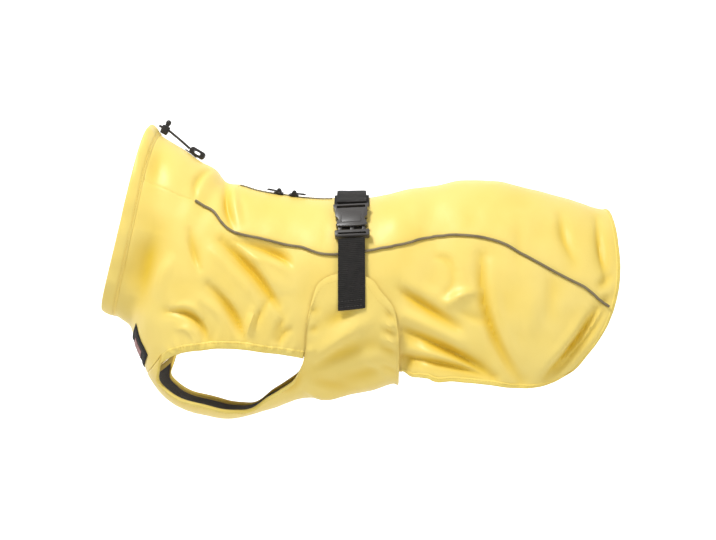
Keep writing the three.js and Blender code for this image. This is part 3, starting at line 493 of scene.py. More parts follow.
def arc_uv(points):
    """Lengths along both ways of a lattice of points, in metres."""
    u = np.linalg.norm(np.diff(points, axis=0), axis=-1).cumsum(0)
    v = np.linalg.norm(np.diff(points, axis=1), axis=-1).cumsum(1)
    u = np.vstack([np.zeros((1, u.shape[1])), u]) * MM
    v = np.hstack([np.zeros((v.shape[0], 1)), v]) * MM
    middle = u[:, u.shape[1] // 2][:, None] + np.zeros_like(u)
    return np.stack([middle, v], -1)


def shell(name, outer, inner, materials, closed=False, skip=None, depth=None):
    """A thin closed wall between two lattices of points. The second material is inside."""
    rows, across = outer.shape[0] - 1, outer.shape[1]
    columns = across if closed else across - 1
    layer = (rows + 1) * across
    points = np.concatenate([outer.reshape(-1, 3), inner.reshape(-1, 3)])
    i, j = np.meshgrid(np.arange(rows), np.arange(columns), indexing="ij")
    kept = np.ones((rows, columns), bool) if skip is None else ~skip(i, j)

    def index(i, j):
        return i * across + j % across

    def neighbour(di, dj):
        """Which kept cells have no kept neighbour on one side."""
        other = np.zeros_like(kept)
        ni, nj = i + di, j + dj
        if closed:
            nj = nj % columns
        inside = (ni >= 0) & (ni < rows) & (nj >= 0) & (nj < columns)
        other[inside] = kept[ni[inside], nj[inside]]
        return kept & ~other

    a, b = index(i, j), index(i, j + 1)
    c, d = index(i + 1, j + 1), index(i + 1, j)
    quads = [np.stack([d, c, b, a], -1)[kept],
             np.stack([a, b, c, d], -1)[kept] + layer]
    for (di, dj), (p, q) in {(-1, 0): (a, b), (0, 1): (b, c), (1, 0): (c, d),
                             (0, -1): (d, a)}.items():
        rim = neighbour(di, dj)
        quads.append(np.stack([p, q, q + layer, p + layer], -1)[rim])
    counts = [len(q) for q in quads]
    indices = np.repeat([0, min(1, len(materials) - 1)] + [0] * 4, counts)
    faces = np.concatenate(quads)
    uv = np.concatenate([arc_uv(outer).reshape(-1, 2), arc_uv(inner).reshape(-1, 2)])
    used, renumbered = np.unique(faces, return_inverse=True)
    faces = renumbered.reshape(faces.shape)
    points, uv = points[used], uv[used]
    # depth, the share of painted crease shade, goes on both layers.
    if depth is not None:
        depth = np.tile(np.broadcast_to(depth, outer.shape[:2]).ravel(), 2)[used]
    corner = points[faces]
    volume = np.einsum("ij,ij->", corner[:, 0], np.cross(corner[:, 1], corner[:, 2]))
    volume += np.einsum("ij,ij->", corner[:, 0], np.cross(corner[:, 2], corner[:, 3]))
    if volume < 0:
        faces = faces[:, ::-1]
    return new_object(name, points, faces.tolist(), materials, indices, uv, depth)


def tube_faces(count, around):
    """Faces of a tube of rings, with a cap at both ends."""
    i, j = np.meshgrid(np.arange(count - 1), np.arange(around), indexing="ij")
    m = (j + 1) % around
    quads = np.stack([i * around + j, i * around + m, (i + 1) * around + m, (i + 1) * around + j], -1)
    caps = [list(range(around - 1, -1, -1)), [(count - 1) * around + k for k in range(around)]]
    return quads.reshape(-1, 4).tolist() + caps


def tube(name, rings, middle, across, material):
    """A capped tube of rings of points, with UVs from its middle line and shares across."""
    count, around = rings.shape[:2]
    length = np.concatenate([[0], np.linalg.norm(np.diff(middle, axis=0), axis=-1).cumsum()])
    uv = np.stack([np.repeat(length * MM, around), np.tile(across, count)], -1)
    made = new_object(name, rings.reshape(-1, 3), tube_faces(count, around), [material], uv=uv)
    work = bmesh.new()
    work.from_mesh(made.data)
    bmesh.ops.recalc_face_normals(work, faces=work.faces)
    work.to_mesh(made.data)
    work.free()
    return made


def sweep(name, path, up, profile, material):
    """A profile, columns of sideways and outwards, carried along a path of points."""
    tangent = unit(np.gradient(path, axis=0))
    up = unit(up - (up * tangent).sum(-1, keepdims=True) * tangent)
    side = np.cross(tangent, up)
    rings = path[:, None] + side[:, None] * profile[:, :1] + up[:, None] * profile[:, 1:]
    return tube(name, rings, path, np.arange(len(profile)) / len(profile), material)


def resample(path, pitch):
    """Points along a path at an even pitch, with the path's own numbers at each."""
    steps = np.linalg.norm(np.diff(path, axis=0), axis=-1)
    length = np.concatenate([[0], steps.cumsum()])
    count = max(int(length[-1] / pitch), 2)
    marks = (np.arange(count) + 0.5) * length[-1] / count
    return np.interp(marks, length, np.arange(len(path)))


def along(values, numbers):
    i = np.clip(numbers.astype(int), 0, len(values) - 2)
    t = (numbers - i)[:, None]
    return values[i] * (1 - t) + values[i + 1] * t


STITCH_SIDES = 6
STITCH_RINGS = np.array([[-0.5, 0.2], [-0.36, 0.9], [0.36, 0.9], [0.5, 0.2]])


def stitches(name, path, up, material, pitch=3.1, length=2.3, radius=0.27, closed=False):
    """A row of sewing stitches, each a short thread lying on the cloth."""
    if closed:
        path, up = np.vstack([path, path[:1]]), np.vstack([up, up[:1]])
    numbers = resample(path, pitch)
    centre = along(path, numbers)
    ahead = unit(along(path, np.minimum(numbers + 0.05, len(path) - 1.0001))
                 - along(path, np.maximum(numbers - 0.05, 0)))
    normal = along(up, numbers)
    normal = unit(normal - (normal * ahead).sum(-1, keepdims=True) * ahead)
    side = np.cross(ahead, normal)
    angle = 2 * PI * np.arange(STITCH_SIDES) / STITCH_SIDES
    ring = (side[:, None] * np.cos(angle)[None, :, None]
            + normal[:, None] * np.sin(angle)[None, :, None]) * radius
    rings = [centre[:, None] + ahead[:, None] * length * at + ring * wide
             - normal[:, None] * (0.25 if abs(at) == 0.5 else 0.0) for at, wide in STITCH_RINGS]
    points = np.stack(rings, 1)
    faces = tube_faces(len(STITCH_RINGS), STITCH_SIDES)
    size = len(STITCH_RINGS) * STITCH_SIDES
    every = [[n * size + corner for corner in one] for n in range(len(centre)) for one in faces]
    return new_object(name, points.reshape(-1, 3), every, [material], sharp=70)


# Materials

def socket(shader, name, value):
    shader.inputs[name].default_value = value


class Look:
    """A node material with a mottled colour and stacked bumps."""

    def __init__(self, name, color, roughness, **sockets):
        self.material = bpy.data.materials.new(name)
        self.material.use_nodes = True
        self.tree = self.material.node_tree
        self.shader = self.tree.nodes["Principled BSDF"]
        self.color = color
        socket(self.shader, "Base Color", (*color, 1))
        socket(self.shader, "Roughness", roughness)
        for key, value in sockets.items():
            socket(self.shader, key.replace("_", " ").title().replace("Ior", "IOR"), value)
        self.bump = None

    def node(self, kind, **values):
        made = self.tree.nodes.new(kind)
        for key, value in values.items():
            if hasattr(made, key):
                setattr(made, key, value)
            else:
                made.inputs[key.replace("_", " ").title()].default_value = value
        return made

    def link(self, source, target):
        self.tree.links.new(source, target)

    def coordinates(self, kind):
        return self.node("ShaderNodeTexCoord").outputs[kind]

    def noise(self, scale, detail, roughness=0.5):
        made = self.node("ShaderNodeTexNoise", scale=scale, detail=detail, roughness=roughness)
        self.link(self.coordinates("Object"), made.inputs["Vector"])
        return made.outputs["Fac"]

    def bands(self, scale, kind, direction, distortion=0.0):
        made = self.node("ShaderNodeTexWave", wave_type="BANDS", bands_direction=direction)
        made.inputs["Scale"].default_value = scale
        made.inputs["Distortion"].default_value = distortion
        self.link(self.coordinates(kind), made.inputs["Vector"])
        return made.outputs["Fac"]

    def times(self, a, b, operation="MULTIPLY"):
        made = self.node("ShaderNodeMath", operation=operation)
        self.link(a, made.inputs[0])
        self.link(b, made.inputs[1])
        return made.outputs[0]

    def mottle(self, value, dark):
        """Mixes the colour with another by a texture."""
        ramp = self.node("ShaderNodeValToRGB")
        ends = zip(ramp.color_ramp.elements, (0.35, 0.65), (dark, self.color))
        for element, position, color in ends:
            element.position = position
            element.color = (*color, 1)
        self.link(value, ramp.inputs["Fac"])
        self.link(ramp.outputs["Color"], self.shader.inputs["Base Color"])
        return self

    def paint_crease_shade(self, attribute, painted_shade):
        """Paints shade: turns the colour towards a deeper one by a number the mesh carries."""
        share = self.node("ShaderNodeAttribute", attribute_name=attribute)
        mix = self.node("ShaderNodeMix", data_type="RGBA")
        source = self.shader.inputs["Base Color"].links[0].from_socket
        self.link(share.outputs["Fac"], mix.inputs[0])
        self.link(source, mix.inputs[6])
        mix.inputs[7].default_value = (*painted_shade, 1)
        self.link(mix.outputs[2], self.shader.inputs["Base Color"])
        return self

    def worn(self, value, low, high):
        """Varies the roughness between two values by a texture."""
        spread = self.node("ShaderNodeMapRange")
        spread.inputs["To Min"].default_value = low
        spread.inputs["To Max"].default_value = high
        self.link(value, spread.inputs["Value"])
        self.link(spread.outputs["Result"], self.shader.inputs["Roughness"])
        return self

    def relief(self, value, distance, strength=1.0):
        made = self.node("ShaderNodeBump")
        made.inputs["Strength"].default_value = strength
        made.inputs["Distance"].default_value = distance
        self.link(value, made.inputs["Height"])
        if self.bump is not None:
            self.link(self.bump, made.inputs["Normal"])
        self.bump = made.outputs["Normal"]
        self.link(self.bump, self.shader.inputs["Normal"])
        return self


def cloth_look(name, color, dark, painted_shade, roughness, sheen):
    look = Look(name, color, roughness, sheen_weight=sheen, sheen_roughness=0.4)
    look.mottle(look.noise(14, 3), dark)
    # Painted shade: the colour turns darker and deeper towards the bottom of each crease, by the
    # mesh's depth attribute.
    look.paint_crease_shade("depth", painted_shade)
    look.worn(look.noise(40, 4), roughness - 0.05, roughness + 0.08)
    look.relief(look.noise(55, 5, 0.55), 0.0007, 0.5)
    weave = look.times(look.bands(420, "UV", "X"), look.bands(420, "UV", "Y"), "ADD")
    look.relief(weave, 0.00005, 0.25)
    return look.material


YELLOW = (0.93, 0.725, 0.195)
YELLOW_SOFT = (0.92, 0.695, 0.16)
# Painted shade colour, which the cloth takes at the bottom of creases.
YELLOW_PAINTED_SHADE = (0.8, 0.54, 0.04)
cloth = cloth_look("cloth_yellow", YELLOW, YELLOW_SOFT, YELLOW_PAINTED_SHADE, 0.42, 0.12)
# The reverse cloth's third colour is painted shade too, for the bottom of its creases.
cloth_back = cloth_look("cloth_reverse", (0.62, 0.47, 0.12), (0.56, 0.41, 0.1),
                        (0.5, 0.35, 0.06), 0.75, 0.1)

look = Look("binding_yellow", (0.93, 0.74, 0.19), 0.5, sheen_weight=0.2, sheen_roughness=0.4)
look.mottle(look.noise(22, 3), (0.9, 0.69, 0.14))
look.relief(look.bands(260, "UV", "X", 0.6), 0.00022, 0.5)
look.relief(look.noise(160, 4), 0.0003, 0.4)
binding = look.material

look = Look("lining_knit", (0.024, 0.019, 0.016), 0.92, sheen_weight=0.15, sheen_roughness=0.6)
look.mottle(look.noise(60, 4), (0.012, 0.01, 0.009))
look.relief(look.times(look.bands(330, "UV", "X", 2.0), look.bands(210, "UV", "Y", 2.0), "ADD"),
            0.0003, 0.7)
lining = look.material

look = Look("webbing_black", (0.016, 0.0135, 0.012), 0.88, sheen_weight=0.04, sheen_roughness=0.45)
look.mottle(look.noise(120, 4), (0.009, 0.008, 0.007))
look.relief(look.bands(170, "UV", "X", 1.0), 0.0004, 0.8)
look.relief(look.bands(300, "UV", "Y", 0.6), 0.00025, 0.6)
webbing = look.material

look = Look("piping_reflective", (0.235, 0.19, 0.105), 0.45)
look.mottle(look.noise(60, 2), (0.18, 0.14, 0.075))
look.relief(look.noise(1400, 2), 0.00004, 0.4)
piping_look = look.material

def moulded_look(name, color, worn, relief, **sockets):
    """A hard look. Worn is noise scale, detail and both ends of the roughness, and relief is
    noise scale, distance and strength."""
    look = Look(name, color, worn[2], **sockets)
    look.worn(look.noise(*worn[:2]), *worn[2:])
    look.relief(look.noise(relief[0], 2), *relief[1:])
    return look.material


buckle_look = moulded_look("buckle_plastic", (0.055, 0.05, 0.047), (90, 4, 0.28, 0.42),
                           (900, 0.00006, 0.5), coat_weight=0.6, coat_roughness=0.24)
toggle_look = moulded_look("toggle_plastic", (0.022, 0.02, 0.019), (120, 3, 0.3, 0.48),
                           (800, 0.00005, 0.5))
zip_look = moulded_look("zip_black", (0.02, 0.019, 0.018), (200, 3, 0.35, 0.6),
                        (600, 0.00006, 0.4))
slider_look = moulded_look("slider_paint", (0.03, 0.028, 0.027), (260, 4, 0.22, 0.45),
                           (500, 0.00004, 0.4), metallic=0.6)

look = Look("cord_braid", (0.03, 0.027, 0.025), 0.75, sheen_weight=0.4, sheen_roughness=0.5)
look.relief(look.bands(260, "Object", "DIAGONAL", 1.0), 0.0004, 0.9)
look.mottle(look.noise(500, 2), (0.015, 0.014, 0.013))
braid = look.material

def thread_look(name, color, roughness):
    look = Look(name, color, roughness, sheen_weight=0.3, sheen_roughness=0.4)
    look.relief(look.bands(900, "Object", "DIAGONAL"), 0.0001, 0.6)
    return look.material


thread = thread_look("thread_yellow", (0.86, 0.63, 0.13), 0.6)
dark_thread = thread_look("thread_dark", (0.06, 0.055, 0.05), 0.65)

look = Look("patch_centre", (0.42, 0.17, 0.16), 0.7, sheen_weight=0.3, sheen_roughness=0.5)
look.mottle(look.noise(140, 3), (0.32, 0.11, 0.105))
look.relief(look.bands(420, "UV", "Y", 0.4), 0.00018, 0.6)
patch_centre = look.material


# Cloth panels

FINE = 7


def spread(rows, count):
    return row_of(rows, np.arange(count) * (len(rows) - 1) / count)


def panel_rows(fine):
    """Rows of section number, turn and section number at the back seam, as in the solids."""
    turns = [PI - turn_for(MEET, at, PI) for at in (FIRST_AT, CHEST_START)]
    keel = np.array([[FIRST_AT, turns[0], FIRST_AT],
                     [CHEST_START, turns[1], CHEST_START - 0.5]])
    corner = leg_band[0] - [0.03, 0, 0]
    rear = hem[hem[:, 0] < REAR_EDGE - 0.3]
    last = np.array([REAR_EDGE, turn_at(hem[:, :2], REAR_EDGE) - CORNER_CUT, REAR_EDGE])
    return np.vstack([
        spread(keel, 8 * fine),
        spread(np.vstack([keel[1], corner]), 4 * fine),
        spread(leg_band, 11 * fine),
        spread(np.vstack([leg_band[-1], rear, last]), 23 * fine),
        last,
    ])


PANEL_ROWS = panel_rows(FINE)
COARSE_ROWS = panel_rows(1)


def side_place(rows, t):
    at, turn, top = (column[:, None] for column in rows.T)
    seam_turn = turn_at(back_seam, top)
    start = seam_turn - turn_for(TUCK / 2, top, seam_turn)
    bound = np.where(at > HEM_START - 0.2, HEM_BAND - TUCK, -TUCK)
    bound = np.where(top < leg_band[0, 2], MEET, bound)
    end = np.where(at < CHEST_START, turn, turn - turn_for(bound, at, turn))
    return top + (at - top) * t, start + (end - start) * t


def edge_dip(t, reach, depth):
    """How far the cloth rolls in at both edges of a lattice."""
    near = np.minimum(t, 1 - t)
    return -depth * (1 - fade(0, reach, near))


def under_casing(at):
    """How far a panel's front edge dips to lie under the casing."""
    return 0.9 * (1 - fade(0.88, 1.04, at))


def side_panel(name, hand):
    t = np.linspace(0, 1, 112)[None]
    at, turn = side_place(PANEL_ROWS, t)
    roll = edge_dip(t, 0.02, 0.6) - under_casing(at)
    # The depth share paints shade into the cloth's colour in its creases.
    made = shell(name + "_cloth", lift(at, hand * turn, roll), lift(at, hand * turn, roll - CLOTH),
                 [cloth, cloth_back], depth=crease_shade_share(folded(at, hand * turn)))
    return place_piece(made, nodes=[name])


def section_at_x(x, turn):
    low = np.zeros_like(np.asarray(x + turn, float))
    high = low + LAST
    for _ in range(24):
        middle = (low + high) / 2
        ahead = face(middle, turn)[..., 0] < x
        low = np.where(ahead, middle, low)
        high = np.where(ahead, high, middle)
    return (low + high) / 2


def nearest_row(x):
    at = section_at_x(np.array(float(x)), np.array(ZIP["turn"]))
    return int(np.abs(COARSE_ROWS[:, 2] - at).argmin())


SLIT = (nearest_row(ZIP["front"]) * FINE, nearest_row(ZIP["rear"]) * FINE)
RIGHT_COLUMNS, LEFT_COLUMNS = 44, 36


def back_turns(at):
    """Turns of the back panel's columns at section numbers, right edge to left edge."""
    seam_turn = turn_at(back_seam, at)
    edge = seam_turn - turn_for(SEAM / 2, at, seam_turn)
    half = turn_for(ZIP["width"] / 2 + SEAM, at, ZIP["turn"])
    right = np.linspace(0, 1, RIGHT_COLUMNS + 1)[None]
    left = np.linspace(0, 1, LEFT_COLUMNS + 1)[None]
    return np.hstack([-edge + (edge + ZIP["turn"] - half) * right,
                      ZIP["turn"] + half + (edge - ZIP["turn"] - half) * left])


def back_panel():
    at = PANEL_ROWS[:, 2:3]
    turn = back_turns(at)
    at = at + np.zeros_like(turn)
    t = np.linspace(0, 1, turn.shape[1])[None]
    roll = edge_dip(t, 0.012, 0.35) - under_casing(at)
    by_zip = np.exp(-((turn - ZIP["turn"]) / turn_for(2.6, at, turn)) ** 2)
    rows = np.arange(len(at))[:, None]
    inside = fade(SLIT[0] - 4, SLIT[0] + 3, rows) * (1 - fade(SLIT[1] - 3, SLIT[1] + 4, rows))
    roll = roll + 0.5 * by_zip * inside

    def skip(i, j):
        return (i >= SLIT[0]) & (i < SLIT[1]) & (j == RIGHT_COLUMNS)

    # The depth share paints shade into the cloth's colour in its creases.
    made = shell("back_panel_cloth", lift(at, turn, roll), lift(at, turn, roll - CLOTH),
                 [cloth, cloth_back], skip=skip, depth=crease_shade_share(folded(at, turn)))
    return place_piece(made, nodes=["back_panel"])


CHEST_LAST = len(CHEST_EDGE) - 1
BINDING_ROWS = int(CHEST_ROWS * FLAP_ROW / CHEST_LAST)
CHEST_ROW_LENGTH = 14
FLAP_HEM = 7


def chest_place(row, across):
    edge = row_of(chest_edge, row)
    share = np.abs(across)
    at = edge[..., 2] + (edge[..., 0] - edge[..., 2]) * share
    turn = PI + (edge[..., 1] - PI) * share
    return at, np.where(across < 0, -turn, turn)


def row_reach(row):
    row = np.asarray(row, float)
    at, turn = chest_place(row[..., None] + np.zeros(7), np.linspace(0, 1, 7))
    return np.linalg.norm(np.diff(face(at, turn), axis=-2), axis=-1).sum(-1)


def chest_lift(row):
    return FLAP_LIFT * fade(7.6, 9.6, row)


def on_flap(row):
    """The share of the flap's own creases that a row of the panel shows."""
    return fade(9, 11, row)


def chest_points(row, across, out):
    at, turn = chest_place(row, across)
    strip = lift(at, turn, out)
    flap = lift(at, turn, out, flap=True)
    share = on_flap(row)[..., None]
    return strip * (1 - share) + flap * share


def chest_panel():
    count = CHEST_ROWS * FINE
    row = (CHEST_LAST * np.arange(count + 1) / count)[:, None]
    row[0] = -0.12
    banded = np.arange(count + 1)[:, None] <= BINDING_ROWS * FINE
    reach = row_reach(row)
    span = np.where(banded, 1 - (EDGE_BAND - TUCK) / reach, 1)
    across = np.linspace(1, -1, 97)[None] * span
    row = row + np.zeros_like(across)
    # The flap's hem is turned in: a little thicker out to the stitch line.
    from_edge = np.minimum((1 - np.abs(across)) * reach, (CHEST_LAST - row) * CHEST_ROW_LENGTH)
    hem_band = 1 - fade(FLAP_HEM - 0.6, FLAP_HEM + 0.6, from_edge)
    crown = 0.45 * hem_band * fade(10.4, 11.2, row)
    crown = crown - 0.5 * (1 - fade(0, 1.2, from_edge))
    out = chest_lift(row) + crown - 0.5 * (1 - fade(-0.1, 0.3, row))
    # The depth share paints shade into the flap's creases, made 1.6 times as strong.
    made = shell("chest_belly_cloth", chest_points(row, across, out),
                 chest_points(row, across, out - CLOTH - crown), [cloth, cloth_back],
                 depth=crease_shade_share(1.6 * flap_shift(face(*chest_place(row, across)))))
    return place_piece(made, nodes=["chest_belly_panel"])


def chest_lining():
    rows = (BINDING_ROWS - 3) * FINE
    row = (CHEST_LAST * (np.arange(rows + 1) + FINE) / (CHEST_ROWS * FINE))[:, None]
    span = 1 - (EDGE_BAND + BAND_SEAM) / row_reach(row)
    across = np.linspace(1, -1, 61)[None] * (1 - 1.4 / CHEST_COLUMNS) * span
    row = row + np.zeros_like(across)
    out = chest_lift(row) - WALL - SEAM
    made = shell("chest_strip_lining", chest_points(row, across, out + 0.6),
                 chest_points(row, across, out - 1), [lining])
    return place_piece(made, nodes=["chest_lining"])


# Bands and casing

BAND_SIDES = 20
BAND_SQUARE = 0.62
# The share of its width at which a band is sewn on
BAND_SEWN = 0.8
HEM_SEWN = 0.24
EDGE_SEWN = 0.78


def oval(middle, half):
    """A rounded strip's cross-section: shares across and distances out."""
    angle = 2 * PI * np.arange(BAND_SIDES) / BAND_SIDES
    c, s = np.cos(angle), np.sin(angle)
    x = 0.5 + 0.5 * np.sign(c) * np.abs(c) ** BAND_SQUARE
    z = middle + half * np.sign(s) * np.abs(s) ** BAND_SQUARE
    return x, z


def band(name, place, rows, middle, half, ripple, node):
    """A folded strip of binding over places given by shares along and across."""
    s = np.linspace(0, 1, rows)[:, None]
    t, out = (v[None] for v in oval(middle, half))
    rings = place(s + 0 * t, t + 0 * s, out + ripple(s, t) * np.maximum(out - middle, 0) / half)
    made = tube(name, rings, rings.mean(1), np.arange(t.size) * MM, binding)
    return place_piece(made, nodes=[node])


def uneven(s, count, phase):
    """A row of gathers of uneven width and height along a band."""
    wander = s * count + 0.35 * np.sin(2 * PI * (s * 3.1 + phase)) + 0.2 * np.sin(2 * PI * s * 7.3)
    return np.sin(2 * PI * wander) * (0.75 + 0.25 * np.sin(2 * PI * (s * 4.7 + phase)))


def leg_binding(name, hand):
    last = len(LEG_TOP) - 1

    def place(s, t, out):
        row = (last + 0.3) * s - 0.1
        low, high = row_of(leg_top, row), row_of(leg_band[:, :2], row)
        spot = low + (high - low) * (t * 0.98)[..., None]
        return lift(spot[..., 0], hand * spot[..., 1], out)

    def ripple(s, t):
        return 0.5 * uneven(s, 15, 0.1 * hand) * np.sin(PI * np.clip(t, 0, 1)) ** 0.5

    made = band(name + "_tape", place, 260, -0.9, 1.7, ripple, name)
    s = np.linspace(0.01, 0.99, 200)
    t = np.full_like(s, BAND_SEWN)
    spot = row_of(leg_top, 0.03 + (last - 0.06) * s)
    sewn = stitches(name + "_stitches", place(s, t, 0.85 + 0.2 * uneven(s, 15, 0.1 * hand)),
                    outward(spot[:, 0], hand * spot[:, 1]), thread)
    place_piece(sewn)
    return made, sewn


def chest_binding(name, hand):
    end = CHEST_LAST * BINDING_ROWS / CHEST_ROWS

    def place(s, t, out):
        row = (end + 0.1) * s - 0.1
        across = hand * (1 - EDGE_BAND / row_reach(row) * (1 - t))
        return chest_points(row, across, chest_lift(row) + out)

    def ripple(s, t):
        return 0.22 * uneven(s, 17, 0.3 * hand) + 0 * t

    made = band(name + "_tape", place, 240, -1.0, 1.65, ripple, name)
    s = np.linspace(0.01, 0.99, 200)
    row = end * s
    at, turn = chest_place(row, hand * (1 - 1.2 / row_reach(row)))
    across = hand * (1 - EDGE_BAND * EDGE_SEWN / row_reach(row))
    path = chest_points(row, across, chest_lift(row) + 0.6)
    sewn = stitches(name + "_stitches", path, outward(at, turn), thread)
    place_piece(sewn)
    return made, sewn


def hem_edges():
    """The hem band's inner and outer borders, rows of section number and turn."""
    sideways = COARSE_ROWS[COARSE_ROWS[:, 0] >= HEM_START - 0.2]
    sideways = sideways[:-1]
    at, turn = sideways[:, 0], sideways[:, 1]
    rear_shares = np.linspace(1, -1, 60)
    edges = []
    for width in (HEM_BAND, 0):
        left = np.stack([at, turn - turn_for(width, at, turn)], -1)
        end = LAST - width * STEP_PER_MM
        border = turn_at(hem[:, :2], end)
        border = border - turn_for(width, end, border)
        rear = np.stack([np.full_like(rear_shares, end), rear_shares * border], -1)
        right = left[::-1] * [1, -1]
        edges.append(np.vstack([left, rear, right]))
    return edges


def hem_binding():
    inner, outer = hem_edges()

    def spot(s, t):
        numbers = s * (len(inner) - 1)
        a, b = row_of(inner, numbers), row_of(outer, numbers)
        return a + (b - a) * t[..., None]

    def place(s, t, out):
        found = spot(s, t)
        return lift(found[..., 0], found[..., 1], out)

    def ripple(s, t):
        return 0.18 * uneven(s, 46, 0.2) + 0 * t

    band("hem_tape", place, 640, -0.95, 1.55, ripple, "hem_binding")
    s = np.linspace(0.004, 0.996, 520)
    t = np.full_like(s, HEM_SEWN)
    found = spot(s, t)
    path = lift(found[:, 0], found[:, 1], 0.62)
    sewn = stitches("hem_stitches", path, outward(found[:, 0], found[:, 1]), thread)
    place_piece(sewn)


CASING_SEWN = 0.84
CASING_SWELL = 1.35


def collar_casing():
    s = np.linspace(0, 1, 25)[:, None]
    turn = np.linspace(-PI, PI, 361)[None, :-1]
    at = s * (1 - SEAM * STEP_PER_MM) + 0 * turn
    turn = turn + 0 * s
    gathers = np.sin(19 * turn + 1.4 * np.sin(3 * turn)) * 0.35 + np.sin(11 * turn + 1) * 0.25
    swell = np.sin(PI * s) ** 0.7
    groove = np.exp(-(((s - CASING_SEWN) / 0.05) ** 2)) * 0.5
    out = CASING_SWELL * swell + 0.1 + gathers * swell - groove - 0.5 * (1 - fade(0, 0.06, s))
    inner = -WALL - 0.5 - 0.7 * swell
    made = shell("collar_casing_cloth", lift(at, turn, out), lift(at, turn, inner + 0 * at),
                 [cloth, cloth_back], closed=True)
    place_piece(made, nodes=["collar_casing"])
    turn = np.linspace(-PI, PI, 241)[:-1]
    line = np.full_like(turn, CASING_SEWN)
    level = CASING_SWELL * math.sin(PI * CASING_SEWN) ** 0.7 + 0.05
    sewn = stitches("collar_stitches", lift(line, turn, level + 0 * turn),
                    outward(line, turn), thread, closed=True)
    place_piece(sewn)
    return made, sewn


def flap_stitches():
    """The stitch line inside the flap's edge, up one side, over the rear and down."""
    made = []
    for hand, side in ((1, "left"), (-1, "right")):
        rear = CHEST_LAST - FLAP_HEM / CHEST_ROW_LENGTH
        row = np.linspace(11, rear, 160)
        across = hand * (1 - FLAP_HEM / row_reach(row))
        rear_across = np.linspace(1 - FLAP_HEM / row_reach(rear), 0.02, 80)
        row = np.concatenate([row, np.full(80, rear)])
        across = np.concatenate([across, hand * rear_across])
        at, turn = chest_place(row, across)
        path = chest_points(row, across, chest_lift(row) + 0.22)
        sewn = stitches(f"flap_stitches_{side}", path, outward(at, turn), thread)
        made.append(place_piece(sewn))
    return made


PATCH = {"from": 3.9, "to": 6.3, "half": 34 * DEGREE}


def patch_place(s, t):
    at = PATCH["from"] + (PATCH["to"] - PATCH["from"]) * s + 0 * t
    return at, PI + (t * 2 - 1) * PATCH["half"] + 0 * s


def chest_patch():
    s, t = np.linspace(0, 1, 33)[:, None], np.linspace(0, 1, 49)[None]
    at, turn = patch_place(s, t)
    edge = np.minimum(np.minimum(s, 1 - s) * 33, np.minimum(t, 1 - t) * 49)
    border = 0.5 * np.exp(-(((edge - 2.2) / 1.6) ** 2)) - 0.5 * (1 - fade(0, 1.4, edge))
    made = shell("chest_patch_ground", lift(at, turn, 1.1 + border),
                 lift(at, turn, 0.3 + 0 * at), [webbing])
    place_piece(made, nodes=["chest_patch"])
    at, turn = patch_place(np.linspace(0.28, 0.76, 17)[:, None], np.linspace(0.11, 0.89, 45)[None])
    centre = shell("chest_patch_bar", lift(at, turn, 1.5 + 0 * at), lift(at, turn, 0.9 + 0 * at),
                   [patch_centre])
    place_piece(centre)


def piping(name, hand):
    start, end = back_seam[PIPING_FIRST, 0], REAR_EDGE - 0.3
    at = np.linspace(start, end, 260)
    turn = hand * turn_at(back_seam, at)
    path, up = lift(at, turn, PIPING_RADIUS + 0.2 + 0 * at), outward(at, turn)
    angle = 2 * PI * np.arange(12) / 12
    profile = np.stack([np.cos(angle), np.sin(angle)], -1) * PIPING_RADIUS
    made = sweep(name + "_cord", path, up, profile, piping_look)
    return place_piece(made, nodes=[name])


# Webbing

# Width, first and last turn in degrees, distance off the coat, thickness, rows of the mesh
STRAPS = {
    "strap_anchor": (34, 30, -26, 0.6, 2.2, 90),
    "strap_over_back": (27, 32.4, -98, 3.4, 1.8, 220),
    "strap_loop": (29, 32.4, -16, 5.6, 1.8, 80),
    "strap_left": (25.6, 98, 60.9, 3.4, 1.8, 80),
}


def strap_rise(name, turn):
    if name == "strap_anchor":
        return 0 * turn
    past = np.abs(turn - BUCKLE_TURN) - 14 * DEGREE
    return 2.2 * (1 - fade(0, 10 * DEGREE, past))


def strap_place(name, s, t):
    width, start, end = STRAPS[name][:3]
    turn = (start + (end - start) * s) * DEGREE
    return section_at_x((t - 0.5) * width, turn), turn


def strap_points(name, s, t, out):
    at, turn = strap_place(name, s, t)
    rise = STRAPS[name][3] + strap_rise(name, turn) + out
    return face(at, turn) + outward(at, turn) * rise[..., None]


def strap(name):
    thick, rows = STRAPS[name][4:]
    s = np.linspace(0, 1, rows)[:, None]
    t = np.linspace(0, 1, 25)[None]
    selvedge = 0.35 * (1 - fade(0.0, 0.07, np.minimum(t, 1 - t)))
    ribs = 0.07 * np.sin(2 * PI * t * 12) + 0 * s
    s, t = s + 0 * t, t + 0 * s
    outer = strap_points(name, s, t, thick + ribs - selvedge)
    inner = strap_points(name, s, t, selvedge + 0 * s)
    made = shell(name + "_webbing", outer, inner, [webbing])
    return place_piece(made, nodes=[name])


def strap_stitches(name, lines):
    """Rows of stitches on a strap, each from one share along and across to another."""
    thick = STRAPS[name][4]
    for n, (s0, t0, s1, t1) in enumerate(lines):
        s, t = np.linspace(s0, s1, 40), np.linspace(t0, t1, 40)
        path = strap_points(name, s, t, thick + 0.1 + 0 * s)
        at, turn = strap_place(name, s, t)
        sewn = stitches(f"{name}_stitches_{n}", path, outward(at, turn), dark_thread,
                        pitch=2.6, length=2.0, radius=0.25)
        place_piece(sewn)


# Fittings

